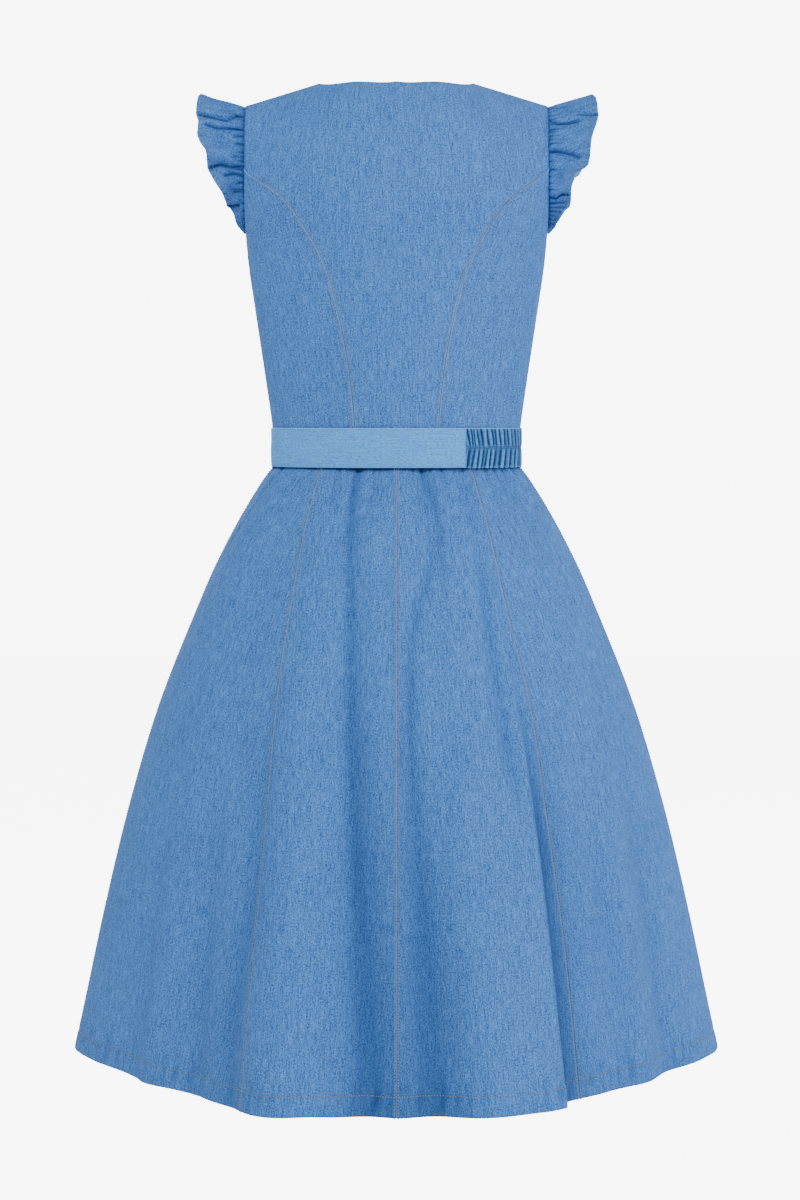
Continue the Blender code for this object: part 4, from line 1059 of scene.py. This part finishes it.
# Rows of points up the belt lie close at its edges, which roll over and have a pressed line beside them
BELT_ROWS_AT_EDGE = (0, 0.012, 0.03, 0.05, 0.07, 0.10)
EDGE_ROLL, EDGE_ROLL_BREADTH, EDGE_LINE, EDGE_LINE_BREADTH = 0.0006, 0.0007, 0.00022, 0.0006
# Painted shade along the pressed lines and at the band's ends, and how far the band swells
EDGE_SHADE, END_SHADE, BAND_SWELL = 0.12, 0.35, 0.00045
BAND_COLUMNS, ELASTIC_COLUMNS, LAP_COLUMNS = 300, 440, 110

at_edge = np.array(BELT_ROWS_AT_EDGE)
belt_share = np.concatenate([at_edge, np.linspace(0.14, 0.86, 17), 1 - at_edge[::-1]])[:, None]
belt_height = BELT_BOTTOM + (BELT_TOP - BELT_BOTTOM) * belt_share
from_edge = np.minimum(belt_share, 1 - belt_share) * (BELT_TOP - BELT_BOTTOM)
edge_relief = -EDGE_ROLL * np.exp(-((from_edge / EDGE_ROLL_BREADTH) ** 2))
edge_relief -= EDGE_LINE * np.exp(-(((from_edge - BELT_EDGE_INSET) / EDGE_LINE_BREADTH) ** 2))
# Painted shade along the pressed line beside each edge
edge_hollow = EDGE_SHADE * np.exp(-(((from_edge - 0.002) / EDGE_LINE_BREADTH) ** 2))

band = np.linspace(BAND_START, BAND_END, BAND_COLUMNS)
softly = BAND_SWELL * np.sin(np.radians(band) * 5.0 + 9 * belt_share) * np.sin(np.radians(band) * 2.3)
band_ends = np.minimum(band - BAND_START, BAND_END - band)
# Painted shade at the band's ends
band_hollow = END_SHADE * np.exp(-((band_ends / 0.5) ** 2)) + edge_hollow
band_out = BELT_WALL + edge_relief + softly
band_points = belt_piece("belt_band", Cut(0.52, 0.045, 0.0230), band, belt_height, band_out, band_hollow)


def gathers(azimuth, valleys, lean, across):
    """Height of the gathers of one row, 0 in the valleys and 1 on the ribs, uneven from rib to rib."""
    order = sorted(valleys)
    leaned = azimuth + lean * (across - 0.5) + 0.16 * np.sin(4.0 * across + 0.9 * azimuth)
    count = np.interp(leaned, order, range(len(order)))
    uneven = 0.84 + 0.16 * np.sin(2.3 * np.floor(count) + 1.0)
    return uneven * np.abs(np.sin(math.pi * count)) ** RIB_SHARPNESS


# The stitched channel along the middle holds the gathers down, and they pull the lower edge into scallops
CHANNEL, RIM_SHADE_PLACE, RIM_SHADE_BREADTH = 0.05, 0.075, 0.03
SCALLOP_DEPTH, SCALLOP_BREADTH, SCALLOP_LIMIT = 0.0010, 0.08, 0.0004

elastic = np.linspace(ELASTIC_START, BAND_START, ELASTIC_COLUMNS)
upper_ribs = gathers(elastic, UPPER_VALLEYS, UPPER_LEAN, (belt_share - 0.5) / 0.5)
lower_ribs = gathers(elastic, LOWER_VALLEYS, LOWER_LEAN, belt_share / 0.5)
ribs = np.where(belt_share > 0.5, upper_ribs, lower_ribs)
from_channel = np.abs(belt_share - 0.5)
in_channel = np.exp(-((from_channel / CHANNEL) ** 2))
envelope = 0.12 + 0.88 * ease((from_channel - 0.015) / 0.085)
envelope = envelope * (0.55 + 0.45 * ease((0.5 - from_channel) / 0.10))
waver = 0.06 * np.sin(1.3 * elastic) * in_channel
out = np.maximum(RIB_HEIGHT * (0.56 + (ribs - 0.6) * envelope + waver) - 0.0010, RIB_FLOOR)
scallop = SCALLOP_DEPTH * (lower_ribs - 0.4) * np.exp(-((belt_share / SCALLOP_BREADTH) ** 2))
elastic_height = belt_height - np.maximum(scallop, -SCALLOP_LIMIT)
# Darker all over the elastic, with painted shade in the valleys between gathers, in the channel, by the
# band's end and above the rim
rib_hollow = 0.26 + RIB_HOLLOW * np.clip(1.28 - ribs / 0.62, 0, 1) ** 0.6 * envelope + 0.55 * in_channel
rib_hollow = rib_hollow + 0.5 * np.exp(-(((elastic - BAND_START) / 0.35) ** 2))
lower_rim = 1.1 * np.exp(-(((belt_share - RIM_SHADE_PLACE) / RIM_SHADE_BREADTH) ** 2))
rib_hollow = np.clip(rib_hollow + lower_rim * (0.75 - lower_ribs), 0, 1)
elastic_cut = Cut(0.21, 0.045, 0.0093)
elastic_points = belt_piece("belt_elastic", elastic_cut, elastic, elastic_height, out, rib_hollow)

front = np.linspace(LAP_END, 360 + ELASTIC_START, LAP_COLUMNS)
lift = (BELT_WALL + 0.0003) * (1 - ease((front - LAP_FULL) / (LAP_CLEAR - LAP_FULL)))
front_out = BELT_WALL + lift + edge_relief
front_cut = Cut(0.17, 0.045, 0.0076)
front_points = belt_piece("belt_front_end", front_cut, front, belt_height, front_out, edge_hollow)

# ---------------------------------------------------------------- topstitching
# Tan polyester thread in lock stitches of about 3 mm: a row each side of the bodice and skirt seams, one
# round the hem and one on each ruffle. Thin blue thread holds the belt's ends and the elastic's channel.

THREAD_RADIUS, BELT_THREAD_RADIUS = 0.00058, 0.00022
BAND_STITCH_INSET, LAP_STITCH_INSET = 0.0014, 0.0024
STITCH_PITCH, STITCH_LENGTH = 0.0029, 0.0021


def thread_material(name, colour):
    """Slightly glossy twisted thread."""
    material, tree, shader = principled(name)
    place = node(tree, "ShaderNodeTexCoord").outputs["Object"]
    twist = node(tree, "ShaderNodeTexNoise", {"Vector": place, "Scale": 900.0, "Detail": 1.0}).outputs["Fac"]
    dark = tuple(0.62 * c for c in colour)
    tree.links.new(mixed(tree, tuned(tree, twist, 0.35, 0.65), dark, colour), shader.inputs["Base Color"])
    shader.inputs["Roughness"].default_value = 0.6
    return material


def stitch_tree(name):
    """Geometry nodes that lay stitches of a given size along a path's edges."""
    tree = bpy.data.node_groups.new(name, "GeometryNodeTree")
    face = tree.interface
    face.new_socket("Geometry", in_out="INPUT", socket_type="NodeSocketGeometry")
    for label in ("Pitch", "Length", "Radius"):
        face.new_socket(label, in_out="INPUT", socket_type="NodeSocketFloat")
    face.new_socket("Thread", in_out="INPUT", socket_type="NodeSocketMaterial")
    face.new_socket("Geometry", in_out="OUTPUT", socket_type="NodeSocketGeometry")
    given = node(tree, "NodeGroupInput").outputs
    path = node(tree, "GeometryNodeMeshToCurve", {"Mesh": given["Geometry"]}).outputs[0]
    along = {"Curve": path, "Length": given["Pitch"]}
    spots = node(tree, "GeometryNodeCurveToPoints", along, mode="LENGTH").outputs
    ball = {"Segments": 6, "Rings": 4, "Radius": 1.0}
    stitch = node(tree, "GeometryNodeMeshUVSphere", ball).outputs["Mesh"]
    half = node(tree, "ShaderNodeMath", {0: given["Length"], 1: 0.5}, operation="MULTIPLY").outputs[0]
    size = {"X": given["Radius"], "Y": given["Radius"], "Z": half}
    shape = node(tree, "ShaderNodeCombineXYZ", size).outputs[0]
    lay = {"Points": spots["Points"], "Instance": stitch, "Rotation": spots["Rotation"], "Scale": shape}
    laid = node(tree, "GeometryNodeInstanceOnPoints", lay).outputs[0]
    real = node(tree, "GeometryNodeRealizeInstances", {"Geometry": laid}).outputs[0]
    rounded = node(tree, "GeometryNodeSetShadeSmooth", {"Geometry": real}).outputs[0]
    dyed = {"Geometry": rounded, "Material": given["Thread"]}
    finish = node(tree, "GeometryNodeSetMaterial", dyed).outputs[0]
    node(tree, "NodeGroupOutput", {"Geometry": finish})
    return tree


def sewn(name, paths, thread, tree, radius=THREAD_RADIUS):
    """Rows of stitches along paths, as a plain mesh."""
    corners, edges = [], []
    for path in paths:
        start = len(corners)
        corners.extend(path.tolist())
        edges.extend((start + k, start + k + 1) for k in range(len(path) - 1))
    mesh = bpy.data.meshes.new(name + "_path")
    mesh.from_pydata(corners, edges, [])
    guide = in_scene(name + "_path", mesh)
    rows = guide.modifiers.new("stitches", "NODES")
    rows.node_group = tree
    values = {"Pitch": STITCH_PITCH, "Length": STITCH_LENGTH, "Radius": radius, "Thread": thread}
    for socket in tree.interface.items_tree:
        if socket.in_out == "INPUT" and socket.name in values:
            rows[socket.identifier] = values[socket.name]
    laid = bpy.data.meshes.new_from_object(guide.evaluated_get(bpy.context.evaluated_depsgraph_get()))
    laid.name = name
    piece = in_scene(name, laid)
    bpy.data.objects.remove(guide, do_unlink=True)
    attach(piece, "root")


tan_thread = thread_material("tan_thread", (0.32, 0.31, 0.27))
blue_thread = thread_material("blue_thread", (0.12, 0.32, 0.62))
stitching = stitch_tree("stitch_rows")
sewn("bodice_topstitching", bodice_stitches, tan_thread, stitching)
sewn("skirt_seam_topstitching", skirt_stitches, tan_thread, stitching)
sewn("hem_topstitching", hem_stitches, tan_thread, stitching)
sewn("ruffle_topstitching", ruffle_stitches, tan_thread, stitching)
middle = int(np.argmin(np.abs(belt_share - 0.5)))
channel = elastic_points[middle] + outward(elastic_points)[middle] * THREAD_LIFT
band_end = beside_border(band_points, BAND_STITCH_INSET)
lap_end = beside_border(front_points, LAP_STITCH_INSET)
sewn("belt_stitching", [band_end, lap_end, channel], blue_thread, stitching, BELT_THREAD_RADIUS)

# ---------------------------------------------------------------- floor, light and camera
# A plain pale floor well below the hem and a pale sky. The camera stands behind the wearer, with soft
# daylight from both of its sides, and two more lamps light the front of the dress.

FLOOR_HEIGHT, FLOOR_RADIUS, FLOOR_CORNERS = -1.42, 9.0, 96
FLOOR_SHADE = (0.93, 0.93, 0.93, 1)
FLOOR_GLOW, SKY_LIGHT, SKY_GLOW = 7.2, 0.37, 8.0
WHITE = (1, 1, 1, 1)
CAMERA_DISTANCE, CAMERA_HEIGHT = 3.0, -0.345
METRES_PER_PIXEL, FRAME_WIDTH, FRAME_HEIGHT = 0.0011, 800, 1200
AXIS_X, AXIS_Y = 396.5, 409.0


def seen_strength(tree, lighting, seen):
    """Strength of a light surface, one value for what it lights and another for how bright it shows."""
    shown = node(tree, "ShaderNodeLightPath").outputs["Is Camera Ray"]
    return node(tree, "ShaderNodeMapRange", {"Value": shown, "To Min": lighting, "To Max": seen}).outputs[0]


floor_mesh = bpy.data.meshes.new("floor")
turn = np.linspace(0, 2 * math.pi, FLOOR_CORNERS, endpoint=False)
rim = np.stack([np.cos(turn) * FLOOR_RADIUS, np.sin(turn) * FLOOR_RADIUS, 0 * turn + FLOOR_HEIGHT], axis=1)
floor_mesh.from_pydata(rim.tolist(), [], [list(range(FLOOR_CORNERS))])
floor_material, floor_tree, floor_shader = principled("floor")
floor_shader.inputs["Base Color"].default_value = FLOOR_SHADE
floor_shader.inputs["Roughness"].default_value = 1.0
floor_shader.inputs["Specular IOR Level"].default_value = 0.0
floor_shader.inputs["Emission Color"].default_value = WHITE
floor_glow = seen_strength(floor_tree, 0.0, FLOOR_GLOW)
floor_tree.links.new(floor_glow, floor_shader.inputs["Emission Strength"])
floor_mesh.materials.append(floor_material)
in_scene("floor", floor_mesh)

world = bpy.data.worlds.new("studio")
bpy.context.scene.world = world
world.use_nodes = True
sky = world.node_tree
sky.links.new(seen_strength(sky, SKY_LIGHT, SKY_GLOW), sky.nodes["Background"].inputs["Strength"])
sky.nodes["Background"].inputs["Color"].default_value = WHITE

DAYLIGHT = (0.92, 1.0, 1.08)
AIM = np.array((0.0, 0.0, -0.5))
Lamp = namedtuple("Lamp", "name place size watts")
LAMPS = (
    Lamp("key", (-3.1, 1.3, 0.0), 1.3, 59),
    Lamp("fill", (1.3, 2.6, 2.0), 1.6, 88),
    Lamp("front_key", (1.3, -3.1, 0.6), 1.3, 60),
    Lamp("front_fill", (-1.8, -2.9, 1.2), 1.6, 46),
)
for lamp in LAMPS:
    light = bpy.data.lights.new(lamp.name, "AREA")
    light.size = lamp.size
    light.color = DAYLIGHT
    light.energy = lamp.watts
    holder = in_scene(lamp.name, light)
    holder.location = lamp.place
    x, y, z = AIM - np.array(lamp.place)
    yaw = math.atan2(y, x) - math.pi / 2
    pitch = math.atan2(z, math.hypot(x, y)) + math.pi / 2
    holder.rotation_euler = (pitch, 0.0, yaw)

view = bpy.data.cameras.new("camera")
view.sensor_width = 36.0
view.lens = view.sensor_width * CAMERA_DISTANCE / (METRES_PER_PIXEL * FRAME_HEIGHT)
view.shift_x = (FRAME_WIDTH / 2 - AXIS_X) / FRAME_HEIGHT
view.shift_y = (AXIS_Y - FRAME_HEIGHT / 2) / FRAME_HEIGHT
camera = in_scene("camera", view)
camera.location = (0.0, CAMERA_DISTANCE, CAMERA_HEIGHT)
camera.rotation_euler = (math.pi / 2, 0.0, math.pi)
bpy.context.scene.camera = camera
